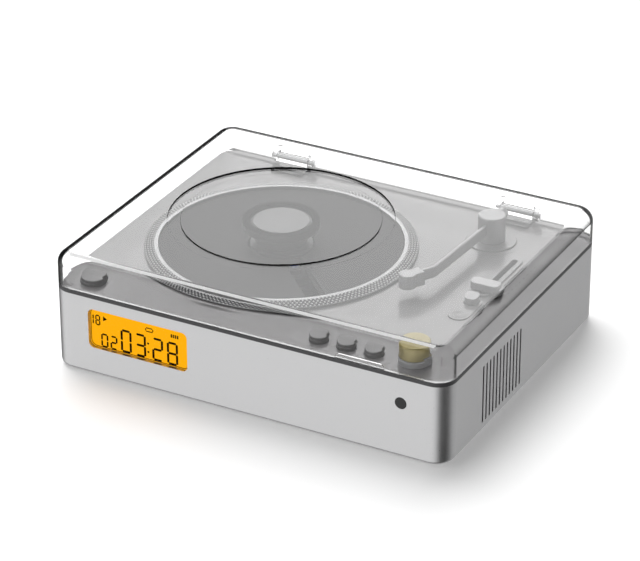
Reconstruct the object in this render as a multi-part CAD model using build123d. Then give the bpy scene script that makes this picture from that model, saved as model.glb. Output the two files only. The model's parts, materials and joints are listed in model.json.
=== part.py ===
from build123d import *
import os
from math import cos, sin, pi, radians, sqrt, tan, acos, hypot

# A flat, desk-top CD player styled as a small record player: a silver case with a
# display, a clear hinged dust cover that carries the disc clamp, and a deck with a
# record-style ring, a swinging arm, a fader, a rocker, push buttons and a volume knob.
# Millimetres.  X runs left to right, Y front to back, Z up from the soles of the feet.

# ---------------------------------------------------------------- case sizes
WIDTH = 220.0            # case, left to right
DEPTH = 177.0            # case, front to back
CORNER_R = 10.0          # upright corners of case, trim and cover
FOOT_H = 0.8             # gap under the case
FOOT_R = 7.0
FOOT_INSET = 20.0        # foot centre from both case sides
CASE_H = 42.8            # silver wall
CASE_WALL = 2.4
CASE_EDGE_R = 2.2        # rounding of the bottom outer edge
TRIM_H = 2.1             # dark band between case and cover
TRIM_LIP = 0.8           # part of the trim that shows round the deck
TRIM_SHELF_H = 0.8       # shelf of the trim that carries the deck
DECK_T = 2.8
DECK_STEP = 0.3          # clearance of the deck's lower step inside the case
FLOOR_T = 2.0            # bottom cover
FLOOR_RECESS = 0.6       # bottom cover above the case's lower rim

# ---------------------------------------------------------------- named clearances
GAP = 0.3                # moving piece to its neighbour
FIT = 0.1                # fixed piece in its opening, per side
RUN = 0.05               # shaft in its bore, radial
CAP_GAP = 0.2            # push button in its hole, radial

# ---------------------------------------------------------------- dust cover sizes
COVER_TOP_Z = 63.4       # overall height of the player
COVER_WALL = 2.2
COVER_EDGE_R = 6.7       # large rounding of the top edge
DISH_R_OUT = 57.9        # round groove in the top, round a slightly sunk middle
DISH_R_IN = 51.3
DISH_DEPTH = 0.5
GROOVE_DEPTH = 1.1
HINGE_FROM_SIDE = 44.0   # hinge centre to the case's side
HINGE_BACK = 4.2         # hinge axis to the back face of the cover
HINGE_UP = 4.5           # hinge axis above the cover's rim
KNUCKLE_R = 2.2
PIN_R = 1.0
PIN_CAP_R = 1.7
PIN_CAP_L = 1.7
FRAME_W = 24.0           # raised frame round each hinge opening
FRAME_H = 9.9
FRAME_T = 1.4            # how far it stands in from the back wall
FRAME_R = 3.5
FRAME_RIM = 2.3          # width of its legs
BRACKET_FOOT_L = 9.0
BRACKET_FOOT_T = 1.4
GRIP_FROM_RIGHT = 46.8   # finger scoop in the cover's front rim
GRIP_W = 26.4
GRIP_H = 2.8
GRIP_DEPTH = 0.8

# ---------------------------------------------------------------- disc side sizes
DISC_R = 60.0            # standard disc
DISC_FROM_LEFT, DISC_FROM_BACK = 82.5, 88.0      # turning axis of the disc
DISC_ROOM = 2.9          # disc to the ring round it
RING_TOP_W = 1.9         # flat top of the dotted ring
RING_SLOPE_W = 5.2       # its slope, down to the outer edge
RING_OVERHANG = 1.6      # slope past its foot, over a shadow gap
RING_SKIRT_H = 1.0
RING_H = 3.0
RING_EDGE_H = 0.35       # upright outer edge of the slope
MAT_T = 1.6
HUB_TABLE_R = 16.0
HUB_TABLE_T = 2.0
HUB_SEAT_H = 2.7         # disc seat above the deck
HUB_BOSS_R = 7.45        # fits the 15 mm hole of a disc
HUB_BOSS_H = 2.7
HUB_WELL_R = 17.2        # opening in mat and deck round the hub
BALL_R = 0.8
BALL_COUNT = 3
BALL_OUT = 0.05          # ball past the boss
BALL_H = 1.85            # ball centre above the disc seat
SPINDLE_R = 1.0
CLAMP_HOLDER_R = 19.8
CLAMP_HOLDER_H = 4.2
CLAMP_LIP_H = 1.2
CLAMP_LIP_R = 14.0
CLAMP_FLANGE_R = 15.5
CLAMP_FLANGE_T = 1.5
CLAMP_BODY_R = 13.5
CLAMP_MOUTH_R = 8.2      # hollow that swallows the hub's boss
CLAMP_LABEL_R = 14.3
CLAMP_LABEL_T = 0.5

# ---------------------------------------------------------------- disc drive sizes
DRIVE_TURN = -45.0       # pickup track, degrees from +X
LENS_IN = 23.5           # lens to disc axis at rest
LENS_STOP = 3.5          # end of the pickup's travel, in from the disc's rim
LENS_R = 3.2
LENS_H_UNDER_DISC = 1.4  # lens top below the disc
SLOT_SIDE = 5.0          # half width of the pickup slot
CHASSIS_T = 3.0
CHASSIS_BACK = -27.0     # chassis end behind the spindle
CHASSIS_NOSE = 6.0       # chassis past the outer rod blocks
CHASSIS_NOSE_SIDE = 22.0         # half width of the nose that holds those blocks
CHASSIS_SIDE = 31.0
CHASSIS_GEAR_SIDE = 34.0
CHASSIS_R = 4.0
DAMPER_T = 1.4
DAMPER_R = 4.5
DECK_BOSS_R = 3.6
DECK_BOSS_H = 1.2
ROD_R = 1.5
ROD_SIDE = 16.0          # guide rod to the track's middle line
ROD_DROP = 3.0           # rod axis below the chassis plate
ROD_BLOCK = 3.0          # thickness of the rod's end blocks
SLED_HALF = 10.0
SLED_SIDE = 21.0
SLED_T = 5.0
TURRET_R = 7.0
GEAR_MODULE = 0.8
GEAR_TEETH = 16
PINION_TEETH = 10
GEAR_T = 2.4
GEAR_X = 40.0            # gear axis along the track
ROD_BLOCK_R = 2.6        # height of a rod block above and below its rod
TOOTH_PLAY = 0.12        # backlash, each pair
RACK_BACK = 1.6          # strip behind the rack's teeth
POST_R = 1.2
SPIN_MOTOR_R = 12.0
SPIN_MOTOR_H = 9.0
SLED_MOTOR_R = 6.0
SLED_MOTOR_H = 11.0

# ---------------------------------------------------------------- front and side sizes
DISPLAY_FROM_LEFT, DISPLAY_Z = 49.6, 26.8
DISPLAY_W, DISPLAY_H = 56.8, 21.5
DISPLAY_R = 3.0
DISPLAY_T = 2.3          # clear front lens
PANEL_T = 2.8            # liquid-crystal glass with its light box
PANEL_RIM = 1.6          # how far the panel reaches past the lens
HOLDER_WALL = 1.6
HOLDER_DEPTH = 4.2
IR_FROM_RIGHT, IR_Z, IR_R = 24.5, 30.5, 3.1
IR_T = 1.6
RECEIVER_W, RECEIVER_L, RECEIVER_DROP = 6.0, 4.2, 3.6
VENT_COUNT = 12
VENT_PITCH = 3.86
VENT_FROM_FRONT = 40.2   # first slot
VENT_LOW_Z, VENT_TOP_Z = 5.7, 37.2
VENT_W = 1.5
SPEAKER_FRAME_Y, SPEAKER_FRAME_Z = 44.0, 33.0
SPEAKER_CONE_R = 15.0
SPEAKER_FRAME_T = 2.0
SPEAKER_DEPTH = 9.0
SPEAKER_CAP_R = 5.2      # dust cap in the middle of the cone
MAGNET_R = 9.5
MAGNET_T = 6.0

# ---------------------------------------------------------------- deck control sizes
BUTTON_FROM_RIGHT, BUTTON_FROM_FRONT = 75.35, 13.8      # first of the row
BUTTON_PITCH = 15.0
BUTTON_R = 4.85
BUTTON_UP = 3.0
POWER_FROM_LEFT, POWER_FROM_FRONT, POWER_R = 16.7, 14.5, 6.65
BUTTON_TRAVEL = 0.8
BUTTON_FLANGE = 0.9      # how far the hidden flange reaches past the hole
BUTTON_FLANGE_T = 0.7
BUTTON_STEM_R = 1.6
BOARD_T = 1.6
BOARD_DROP = 7.4         # top of a control board below the deck
BOARD_SIDE_MARGIN = 11.0         # board past the first button's axis
BOARD_FRONT_MARGIN = 10.0        # board in front of the button row
BOARD_BACK_MARGIN = 11.5
BOARD_WALL_GAP = 3.6     # board to the case's right wall
POWER_BOARD_FRONT = 4.5  # small board in front of the power button
BOARD_PEG_IN = 3.0       # peg centre in from a board's edges
SWITCH_SIDE = 6.0
SWITCH_H = 3.4
KNOB_FROM_RIGHT, KNOB_FROM_FRONT = 25.0, 15.9
KNOB_R = 7.5
KNOB_UP = 10.2
KNOB_RING_R = 7.8
KNOB_RING_H = 3.3
KNOB_RING_BORE = 5.6
KNOB_SHAFT_R = 3.0
KNOB_SHAFT_END = 2.2     # closed top of the knob over its shaft
BUSH_WALL = 0.9
FADER_FROM_RIGHT, FADER_FROM_BACK = 24.5, 45.4
FADER_TRACK_L, FADER_TRACK_W = 45.6, 8.0
FADER_TRACK_H = 0.8
FADER_SLOT_W = 3.2
FADER_TRAVEL = 30.5
FADER_KNOB_W, FADER_KNOB_L, FADER_KNOB_R = 15.6, 7.0, 2.6
FADER_KNOB_H = 3.9
FADER_BLADE_W, FADER_BLADE_L = 1.6, 4.0
FADER_BODY_W, FADER_BODY_H = 9.0, 7.0
FADER_BODY_END = 4.0     # fader unit past its groove, each end
ROCKER_FROM_RIGHT, ROCKER_PLATE_FROM_BACK = 25.2, 105.4
ROCKER_PLATE_W, ROCKER_PLATE_L, ROCKER_PLATE_T = 10.6, 25.4, 0.5
ROCKER_OFFSET = 7.4      # key behind the plate's middle
ROCKER_W, ROCKER_L, ROCKER_R = 6.8, 6.8, 2.6
ROCKER_HIGH, ROCKER_LOW = 4.6, 3.6
ROCKER_EAR = 0.7
ROCKER_EAR_L = 3.2
ROCKER_BODY_H = 7.0      # switch body under the deck
ROCKER_SWING = 0.9       # room at each end of the key for its tilt
ROCKER_PIVOT_DROP = 1.6
ROCKER_PIN_R = 0.7

# ---------------------------------------------------------------- swinging arm sizes
ARM_FROM_RIGHT, ARM_FROM_BACK = 45.3, 33.0
ARM_BASE_R = 13.2
ARM_BASE_H = 0.8
PILLAR_R = 7.1
PILLAR_TOP_GAP = 0.5     # pillar under the cover
PILLAR_SHAFT_R = 3.0
ARM_BEND_DX, ARM_BEND_DY = -3.7, -59.2      # crank of the arm, from its pillar
HEAD_DX, HEAD_DY = -11.7, -72.7              # nose of the head, from the pillar
ARM_W, ARM_TALL = 2.0, 6.1
ARM_BEND_R = 9.0
ARM_TOP_UP = 11.8        # top of the arm above the deck
HEAD_R = 4.3
HEAD_TALL = 7.0
HEAD_LENGTH = 12.7
HEAD_NECK_W = 6.4
WEIGHT_R = 3.0
WEIGHT_L = 5.6

# ---------------------------------------------------------------- fixings and electrics
POST_CASE_R = 3.4
POST_INSET = 3.0         # post centre to the case's inner wall
POST_FROM_END = 32.5     # side posts, in from the front and back
POST_BEFORE_ROW = 22.65  # front post, left of the first button
POST_PAST_BOARD = 18.0   # back post, right of the main board
SCREW_R = 1.4
SCREW_HEAD_R = 2.7
SCREW_HEAD_T = 1.6
SCREW_LENGTH = 9.0
KEYHOLE_SPACING = 120.0
KEYHOLE_HEAD_R, KEYHOLE_SLOT_R, KEYHOLE_RUN = 4.2, 2.1, 8.0
KEYHOLE_FROM_BACK = 74.5
MAIN_BOARD_SIDE_GAP, MAIN_BOARD_BACK_GAP = 9.6, 4.1     # board to the case's inner walls
MAIN_BOARD_W, MAIN_BOARD_L = 92.0, 50.0
MAIN_BOARD_UP = 5.0      # board above the bottom cover
STANDOFF_IN = 5.0        # pillar centre in from the board's edges
CHIPS = ((0.28, -0.16, 12.0, 1.6), (0.61, -0.2, 8.0, 1.4), (0.78, -0.08, 6.0, 5.0))      # place, side, height
STANDOFF_R = 2.6
CELL_R, CELL_L = 9.1, 65.0
BATTERY_SIDE_GAP, BATTERY_BACK_GAP = 7.1, 19.1
BATTERY_WRAP = 0.8
USB_FROM_LEFT, USB_W, USB_H, USB_L = 54.0, 13.1, 5.7, 14.0         # sockets' middles to the
AUX_FROM_RIGHT, AUX_BODY, AUX_L = 16.0, 7.0, 12.0                  # main board's side edges
AUX_NOSE_R, AUX_BORE_R = 2.9, 1.8
INLET_FROM_LEFT, INLET_W, INLET_H, INLET_L = 12.0, 9.0, 3.3, 7.4
PORT_SHELL = 0.5         # sheet thickness of the sockets

# ---------------------------------------------------------------- derived heights and places
LEFT, RIGHT = -WIDTH / 2, WIDTH / 2
FRONT, BACK = -DEPTH / 2, DEPTH / 2
CASE_BOTTOM = FOOT_H
CASE_TOP = CASE_BOTTOM + CASE_H
DECK_Z = CASE_TOP + TRIM_H
DECK_UNDER = DECK_Z - DECK_T
FLOOR_Z = CASE_BOTTOM + FLOOR_RECESS
FLOOR_TOP = FLOOR_Z + FLOOR_T
COVER_RIM = DECK_Z + GAP
COVER_CEILING = COVER_TOP_Z - COVER_WALL
HINGE_Y = BACK - HINGE_BACK
HINGE_Z = COVER_RIM + HINGE_UP
DISC_SEAT = DECK_Z + HUB_SEAT_H
BOARD_TOP = DECK_UNDER - BOARD_DROP
CHASSIS_TOP = DECK_UNDER - DECK_BOSS_H - DAMPER_T
CHASSIS_UNDER = CHASSIS_TOP - CHASSIS_T
ROD_Z = CHASSIS_UNDER - ROD_DROP
SLED_TOP = CHASSIS_UNDER - GAP
SLED_UNDER = SLED_TOP - SLED_T
MAIN_BOARD_Z = FLOOR_TOP + MAIN_BOARD_UP
INNER_W = WIDTH - 2 * CASE_WALL
INNER_D = DEPTH - 2 * CASE_WALL
FRONT_IN = FRONT + CASE_WALL
BACK_IN = BACK - CASE_WALL
HINGE_X = RIGHT - HINGE_FROM_SIDE
GRIP_X = RIGHT - GRIP_FROM_RIGHT
DISC_X, DISC_Y = LEFT + DISC_FROM_LEFT, BACK - DISC_FROM_BACK
RING_R_IN = DISC_R + DISC_ROOM
RING_R_TOP = RING_R_IN + RING_TOP_W
RING_R_OUT = RING_R_TOP + RING_SLOPE_W
RING_SKIRT_R = RING_R_OUT - RING_OVERHANG
MAT_R = RING_R_IN - 2 * FIT
LENS_OUT = DISC_R - LENS_STOP
DISPLAY_X = LEFT + DISPLAY_FROM_LEFT
IR_X = RIGHT - IR_FROM_RIGHT
VENT_FIRST_Y = FRONT + VENT_FROM_FRONT
BUTTON_FIRST_X, BUTTON_Y = RIGHT - BUTTON_FROM_RIGHT, FRONT + BUTTON_FROM_FRONT
POWER_X, POWER_Y = LEFT + POWER_FROM_LEFT, FRONT + POWER_FROM_FRONT
KNOB_X, KNOB_Y = RIGHT - KNOB_FROM_RIGHT, FRONT + KNOB_FROM_FRONT
FADER_X, FADER_BACK_Y = RIGHT - FADER_FROM_RIGHT, BACK - FADER_FROM_BACK
FADER_FRONT_Y = FADER_BACK_Y - FADER_TRACK_L
FADER_MID_Y = (FADER_FRONT_Y + FADER_BACK_Y) / 2
FADER_REST_Y = FADER_MID_Y - FADER_TRAVEL / 2
ROCKER_X, ROCKER_PLATE_Y = RIGHT - ROCKER_FROM_RIGHT, BACK - ROCKER_PLATE_FROM_BACK
ROCKER_Y = ROCKER_PLATE_Y + ROCKER_OFFSET
ARM_X, ARM_Y = RIGHT - ARM_FROM_RIGHT, BACK - ARM_FROM_BACK
ARM_BEND = (ARM_X + ARM_BEND_DX, ARM_Y + ARM_BEND_DY)
HEAD_AT = (ARM_X + HEAD_DX, ARM_Y + HEAD_DY)
MAIN_BOARD_X = -INNER_W / 2 + MAIN_BOARD_SIDE_GAP + MAIN_BOARD_W / 2
MAIN_BOARD_Y = BACK_IN - MAIN_BOARD_BACK_GAP - MAIN_BOARD_L / 2
BOARD_LEFT, BOARD_RIGHT = MAIN_BOARD_X - MAIN_BOARD_W / 2, MAIN_BOARD_X + MAIN_BOARD_W / 2
USB_X, INLET_X = BOARD_LEFT + USB_FROM_LEFT, BOARD_LEFT + INLET_FROM_LEFT
AUX_X = BOARD_RIGHT - AUX_FROM_RIGHT
BATTERY_X = INNER_W / 2 - BATTERY_SIDE_GAP - CELL_L / 2
BATTERY_Y = BACK_IN - BATTERY_BACK_GAP - 2 * CELL_R - BATTERY_WRAP
KEYHOLE_Y = BACK - KEYHOLE_FROM_BACK


# ================================================================ shape helpers
def slab(width, depth, radius, low, high, x=0.0, y=0.0):
    """Plate with rounded upright corners between two heights."""
    return Pos(x, y, low) * extrude(RectangleRounded(width, depth, radius), high - low)


def disc(radius, low, high, x=0.0, y=0.0):
    """Upright cylinder between two heights."""
    return Pos(x, y, (low + high) / 2) * Cylinder(radius, high - low)


def block(x0, x1, y0, y1, z0, z1):
    """Box between two opposite corners."""
    return Pos((x0 + x1) / 2, (y0 + y1) / 2, (z0 + z1) / 2) * Box(x1 - x0, y1 - y0, z1 - z0)


def rod_x(radius, x0, x1, y, z):
    """Cylinder along X."""
    return Pos((x0 + x1) / 2, y, z) * Rot(0, 90, 0) * Cylinder(radius, x1 - x0)


def rod_y(radius, y0, y1, x, z):
    """Cylinder along Y."""
    return Pos(x, (y0 + y1) / 2, z) * Rot(90, 0, 0) * Cylinder(radius, y1 - y0)


def turned(points, x=0.0, y=0.0):
    """Solid of revolution about an upright axis, from (radius, height) points."""
    profile = Plane.XZ * make_face(Polyline(*points, close=True))
    return Pos(x, y, 0) * revolve(profile, Axis.Z)


def stadium(width, length, low, high, x, y):
    """Upright plate with round ends, long along Y."""
    return Pos(x, y, low) * extrude(Rot(0, 0, 90) * SlotOverall(length, width), high - low)


def in_drive(shape):
    """Place a piece drawn along the pickup's own track, with the disc axis as its origin."""
    return Pos(DISC_X, DISC_Y, 0) * Rot(0, 0, DRIVE_TURN) * shape


def bottom_edges(shape):
    return shape.edges().group_by(Axis.Z)[0]


def top_edges(shape):
    return shape.edges().group_by(Axis.Z)[-1]


def screw(x, y, under, length):
    """Pan-head screw that points up, its head just under the given height."""
    head = fillet(bottom_edges(disc(SCREW_HEAD_R, under - SCREW_HEAD_T, under, x, y)), 0.5)
    return head + disc(SCREW_R, under, under + length, x, y)


# ================================================================ case
def case_posts():
    """Centres of the six screw posts, each grown into the nearest wall."""
    side_x, side_y = INNER_W / 2 - POST_INSET, BACK - POST_FROM_END
    mid_y = INNER_D / 2 - POST_INSET
    corners = [(sx * side_x, sy * side_y) for sx in (-1, 1) for sy in (-1, 1)]
    front_x = BUTTON_FIRST_X - POST_BEFORE_ROW
    back_x = BOARD_RIGHT + POST_PAST_BOARD
    return corners + [(front_x, -mid_y), (back_x, mid_y)]


def vent_slots(side):
    """Upright slots through one side wall, with round ends."""
    height = VENT_TOP_Z - VENT_LOW_Z
    wall_x = side * (WIDTH / 2 - CASE_WALL / 2)
    slots = []
    for i in range(VENT_COUNT):
        outline = Plane.YZ * Rot(0, 0, 90) * SlotOverall(height, VENT_W)
        cutter = extrude(outline, CASE_WALL, both=True)
        slots.append(Pos(wall_x, VENT_FIRST_Y + i * VENT_PITCH, (VENT_LOW_Z + VENT_TOP_Z) / 2) * cutter)
    return slots


def front_outline(width, height, radius, y0, y1, x, z):
    """Rounded rectangle that faces the front, between two depths."""
    return Pos(x, y1, z) * extrude(Plane.XZ * RectangleRounded(width, height, radius), y1 - y0)


def port_windows():
    """Openings in the back wall for the three sockets."""
    depth = (BACK_IN - FIT, BACK + FIT)
    usb_z = MAIN_BOARD_Z + BOARD_T + USB_H / 2
    inlet_z = MAIN_BOARD_Z + BOARD_T + INLET_H / 2
    return [
        front_outline(USB_W + 2 * GAP, USB_H + 2 * GAP, 0.6, *depth, USB_X, usb_z),
        front_outline(INLET_W + 2 * GAP, INLET_H + 2 * GAP, 1.2, *depth, INLET_X, inlet_z),
        rod_y(AUX_NOSE_R + FIT, *depth, AUX_X, aux_height()),
    ]


def aux_height():
    return MAIN_BOARD_Z + BOARD_T + AUX_BODY / 2


def case_shell():
    """Silver wall of the case, with windows, vents and screw posts."""
    shell = slab(WIDTH, DEPTH, CORNER_R, CASE_BOTTOM, CASE_TOP)
    shell = fillet(bottom_edges(shell), CASE_EDGE_R)
    shell -= slab(INNER_W, INNER_D, CORNER_R - CASE_WALL, CASE_BOTTOM - 1, CASE_TOP + 1)
    for x, y in case_posts():
        shell += disc(POST_CASE_R, FLOOR_TOP, DECK_UNDER - FIT, x, y) & slab(
            INNER_W + CASE_WALL, INNER_D + CASE_WALL, CORNER_R, FLOOR_TOP, CASE_TOP)
    for x, y in case_posts():
        shell -= disc(SCREW_R + RUN, FLOOR_TOP - 1, FLOOR_TOP + SCREW_LENGTH + 1, x, y)
    shell -= front_outline(DISPLAY_W + 2 * FIT, DISPLAY_H + 2 * FIT, DISPLAY_R + FIT,
                           FRONT - 1, FRONT_IN + 1, DISPLAY_X, DISPLAY_Z)
    shell -= rod_y(IR_R + RUN, FRONT - 1, FRONT_IN + 1, IR_X, IR_Z)
    return shell - vent_slots(-1) - vent_slots(1) - port_windows()


def keyhole(x):
    """Hanger hole: a screw head goes in low and its neck slides up the slot."""
    head = disc(KEYHOLE_HEAD_R, FLOOR_Z - 1, FLOOR_TOP + 1, x, KEYHOLE_Y)
    neck = stadium(2 * KEYHOLE_SLOT_R, KEYHOLE_RUN + 2 * KEYHOLE_SLOT_R, FLOOR_Z - 1, FLOOR_TOP + 1,
                   x, KEYHOLE_Y + KEYHOLE_RUN / 2)
    return head + neck


def standoffs():
    """Pillars of the bottom cover under the corners of the main board."""
    dx, dy = MAIN_BOARD_W / 2 - STANDOFF_IN, MAIN_BOARD_L / 2 - STANDOFF_IN
    return [(MAIN_BOARD_X + sx * dx, MAIN_BOARD_Y + sy * dy) for sx in (-1, 1) for sy in (-1, 1)]


def bottom_cover():
    """Flat floor with screw holes, keyholes and standoffs."""
    floor = slab(INNER_W - 2 * FIT, INNER_D - 2 * FIT, CORNER_R - CASE_WALL - FIT, FLOOR_Z, FLOOR_TOP)
    for x, y in case_posts():
        floor -= disc(SCREW_R + FIT, FLOOR_Z - 1, FLOOR_TOP + 1, x, y)
        floor -= disc(SCREW_HEAD_R + FIT, FLOOR_Z - 1, FLOOR_Z + SCREW_HEAD_T / 2, x, y)
    floor -= keyhole(-KEYHOLE_SPACING / 2) + keyhole(KEYHOLE_SPACING / 2)
    for x, y in standoffs():
        floor += disc(STANDOFF_R, FLOOR_TOP, MAIN_BOARD_Z, x, y)
    return floor


def feet():
    """Four soft feet under the floor, as far in from the sides as from front and back."""
    dx, dy = RIGHT - FOOT_INSET, BACK - FOOT_INSET
    pads = []
    for sx in (-1, 1):
        for sy in (-1, 1):
            pads.append(fillet(bottom_edges(disc(FOOT_R, 0, FLOOR_Z, sx * dx, sy * dy)), 0.4))
    return Compound(children=pads)


def case_screws():
    """Six screws up through the floor into the posts."""
    under = FLOOR_Z + SCREW_HEAD_T / 2
    return Compound(children=[screw(x, y, under, SCREW_LENGTH) for x, y in case_posts()])


def trim_ring():
    """Dark band between case and cover: a lip round the deck over a carrying shelf."""
    ring = slab(WIDTH, DEPTH, CORNER_R, CASE_TOP, DECK_Z)
    ring -= slab(WIDTH - 2 * TRIM_LIP, DEPTH - 2 * TRIM_LIP, CORNER_R - TRIM_LIP,
                 CASE_TOP + TRIM_SHELF_H, DECK_Z + 1)
    return ring - slab(INNER_W, INNER_D, CORNER_R - CASE_WALL, CASE_TOP - 1, DECK_Z)


# ================================================================ deck
def button_places():
    """Name, centre and radius of each push button."""
    names = ("button_previous", "button_play", "button_next")
    row = [(name, BUTTON_FIRST_X + i * BUTTON_PITCH, BUTTON_Y, BUTTON_R) for i, name in enumerate(names)]
    return row + [("button_power", POWER_X, POWER_Y, POWER_R)]


def rod_ends():
    """Inner faces of the rod blocks, before and after the pickup's travel."""
    return LENS_IN - SLED_HALF - 2 * GAP, LENS_OUT + SLED_HALF + 2 * GAP


def chassis_front():
    return rod_ends()[1] + ROD_BLOCK + CHASSIS_NOSE


def damper_places():
    """Centres of the chassis dampers, along the pickup's track."""
    x = CHASSIS_BACK + DAMPER_R
    behind = [(x, CHASSIS_SIDE - DAMPER_R), (x, -CHASSIS_GEAR_SIDE + DAMPER_R)]
    return behind + [(chassis_front() - DAMPER_R, 0.0)]


def pickup_opening(low, high):
    """Well round the hub, joined to the slot that the lens looks through."""
    end = LENS_OUT + LENS_R + 2 * GAP
    slot = in_drive(block(0, end, -SLOT_SIDE, SLOT_SIDE, low, high))
    return disc(HUB_WELL_R, low, high, DISC_X, DISC_Y) + slot


def control_board_posts():
    """Deck pegs over the corners of the two control boards."""
    x0, x1, y0, y1 = wide_board()
    row = [(x0, y0), (x1, y1)]
    x2, x3, _, y3 = power_board()
    small = [(x2, y3), (x3, y3)]
    pegs = []
    for x, y in row + small:
        pegs.append((x + BOARD_PEG_IN if x in (x0, x2) else x - BOARD_PEG_IN,
                     y + BOARD_PEG_IN if y == y0 else y - BOARD_PEG_IN))
    return pegs


def wide_board():
    """Edges of the board under the button row and the knob."""
    return (BUTTON_FIRST_X - BOARD_SIDE_MARGIN, INNER_W / 2 - BOARD_WALL_GAP,
            BUTTON_Y - BOARD_FRONT_MARGIN, BUTTON_Y + BOARD_BACK_MARGIN)


def power_board():
    """Edges of the small board under the power button."""
    return (POWER_X - BOARD_SIDE_MARGIN, POWER_X + BOARD_SIDE_MARGIN,
            POWER_Y - POWER_BOARD_FRONT, POWER_Y + BOARD_BACK_MARGIN)


def deck_plate():
    """Top panel with its openings, screw bosses and board pegs."""
    edge = 2 * (TRIM_LIP + FIT)
    deck = slab(WIDTH - edge, DEPTH - edge, CORNER_R - TRIM_LIP - FIT, CASE_TOP + TRIM_SHELF_H, DECK_Z)
    step = 2 * (CASE_WALL + DECK_STEP)
    deck += slab(WIDTH - step, DEPTH - step, CORNER_R - CASE_WALL - DECK_STEP, DECK_UNDER, DECK_Z)
    for x, y in damper_places():
        deck += in_drive(disc(DECK_BOSS_R, DECK_UNDER - DECK_BOSS_H, DECK_UNDER, x, y))
        deck -= in_drive(disc(SCREW_R + RUN, DECK_UNDER - DECK_BOSS_H - 1, DECK_Z - 0.6, x, y))
    for x, y in control_board_posts():
        deck += disc(STANDOFF_R, BOARD_TOP, DECK_UNDER, x, y)
    deck -= pickup_opening(DECK_UNDER - 1, DECK_Z + 1)
    for _, x, y, radius in button_places():
        deck -= disc(radius + CAP_GAP, DECK_UNDER - 1, DECK_Z + 1, x, y)
    deck -= disc(KNOB_SHAFT_R + BUSH_WALL + RUN, DECK_UNDER - 1, DECK_Z + 1, KNOB_X, KNOB_Y)
    deck -= disc(PILLAR_SHAFT_R + RUN, DECK_UNDER - 1, DECK_Z + 1, ARM_X, ARM_Y)
    deck -= fader_slot(DECK_UNDER - 1, DECK_Z + 1)
    return deck - rocker_opening(DECK_UNDER - 1, DECK_Z + 1)


def platter_ring():
    """Sloped ring round the disc, like the dotted rim of a record platter."""
    top = DECK_Z + RING_H
    lip = DECK_Z + RING_SKIRT_H
    return turned([(RING_R_IN, DECK_Z), (RING_SKIRT_R, DECK_Z), (RING_SKIRT_R, lip), (RING_R_OUT, lip),
                   (RING_R_OUT, lip + RING_EDGE_H), (RING_R_TOP, top), (RING_R_IN, top)], DISC_X, DISC_Y)


def disc_mat():
    """Dark round mat on the deck, inside the ring."""
    mat = disc(MAT_R, DECK_Z, DECK_Z + MAT_T, DISC_X, DISC_Y)
    mat = fillet(top_edges(mat), 0.4)
    return mat - pickup_opening(DECK_Z - 1, DECK_Z + MAT_T + 1)


# ================================================================ disc hub and clamp
def ball_places():
    reach = HUB_BOSS_R + BALL_OUT - BALL_R
    turns = [2 * pi * i / BALL_COUNT + pi / 2 for i in range(BALL_COUNT)]
    return [(DISC_X + reach * cos(a), DISC_Y + reach * sin(a)) for a in turns]


def spindle_hub():
    """Turntable of the disc: table, centring boss with ball pockets, sleeve on the shaft."""
    seat, top = DISC_SEAT, DISC_SEAT + HUB_BOSS_H
    sleeve_r, sleeve_low = 3.2, CHASSIS_TOP + GAP
    hub = turned([(SPINDLE_R, sleeve_low), (sleeve_r, sleeve_low), (sleeve_r, seat - HUB_TABLE_T),
                  (HUB_TABLE_R, seat - HUB_TABLE_T), (HUB_TABLE_R, seat), (HUB_BOSS_R, seat),
                  (HUB_BOSS_R, top - 0.7), (HUB_BOSS_R - 1.0, top), (SPINDLE_R, top)], DISC_X, DISC_Y)
    for x, y in ball_places():
        hub -= Pos(x, y, seat + BALL_H) * Sphere(BALL_R + RUN)
    return hub


def catch_balls():
    """Three balls that grip the rim of the disc's hole."""
    balls = [Pos(x, y, DISC_SEAT + BALL_H) * Sphere(BALL_R) for x, y in ball_places()]
    return Compound(children=balls)


def spindle_shaft():
    return disc(SPINDLE_R, CHASSIS_UNDER - SPIN_MOTOR_H + 2, DISC_SEAT + HUB_BOSS_H - FIT, DISC_X, DISC_Y)


def clamp_holder():
    """Ring under the cover's ceiling, with a lip that catches the clamp's flange."""
    low = COVER_CEILING - CLAMP_HOLDER_H
    lip_top = low + CLAMP_LIP_H
    bore = CLAMP_FLANGE_R + 2 * GAP
    return turned([(CLAMP_LIP_R, low), (CLAMP_HOLDER_R - 0.6, low), (CLAMP_HOLDER_R, low + 0.6),
                   (CLAMP_HOLDER_R, COVER_CEILING), (bore, COVER_CEILING), (bore, lip_top),
                   (CLAMP_LIP_R, lip_top)], DISC_X, DISC_Y)


def clamp_puck():
    """Turning clamp that presses the disc on the hub; hollow under its middle."""
    flange_low = COVER_CEILING - CLAMP_HOLDER_H + CLAMP_LIP_H + GAP
    low = DISC_SEAT + 1.2 + GAP
    mouth_top = DISC_SEAT + HUB_BOSS_H + 2 * GAP
    return turned([(0, mouth_top), (CLAMP_MOUTH_R, mouth_top), (CLAMP_MOUTH_R, low), (CLAMP_BODY_R, low),
                   (CLAMP_BODY_R, flange_low), (CLAMP_FLANGE_R, flange_low),
                   (CLAMP_FLANGE_R, flange_low + CLAMP_FLANGE_T), (0, flange_low + CLAMP_FLANGE_T)],
                  DISC_X, DISC_Y)


def clamp_label():
    low = COVER_CEILING - CLAMP_HOLDER_H + CLAMP_LIP_H + GAP + CLAMP_FLANGE_T
    return disc(CLAMP_LABEL_R, low, low + CLAMP_LABEL_T, DISC_X, DISC_Y)


# ================================================================ dust cover and hinges
def wall_pad(width, height, radius, y0, y1, x, low):
    """Upright pad on the back wall with round top corners."""
    pad = front_outline(width, 2 * height, radius, y0, y1, x, low)
    return pad & block(x - width, x + width, y0 - 1, y1 + 1, low, low + 2 * height)


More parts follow.
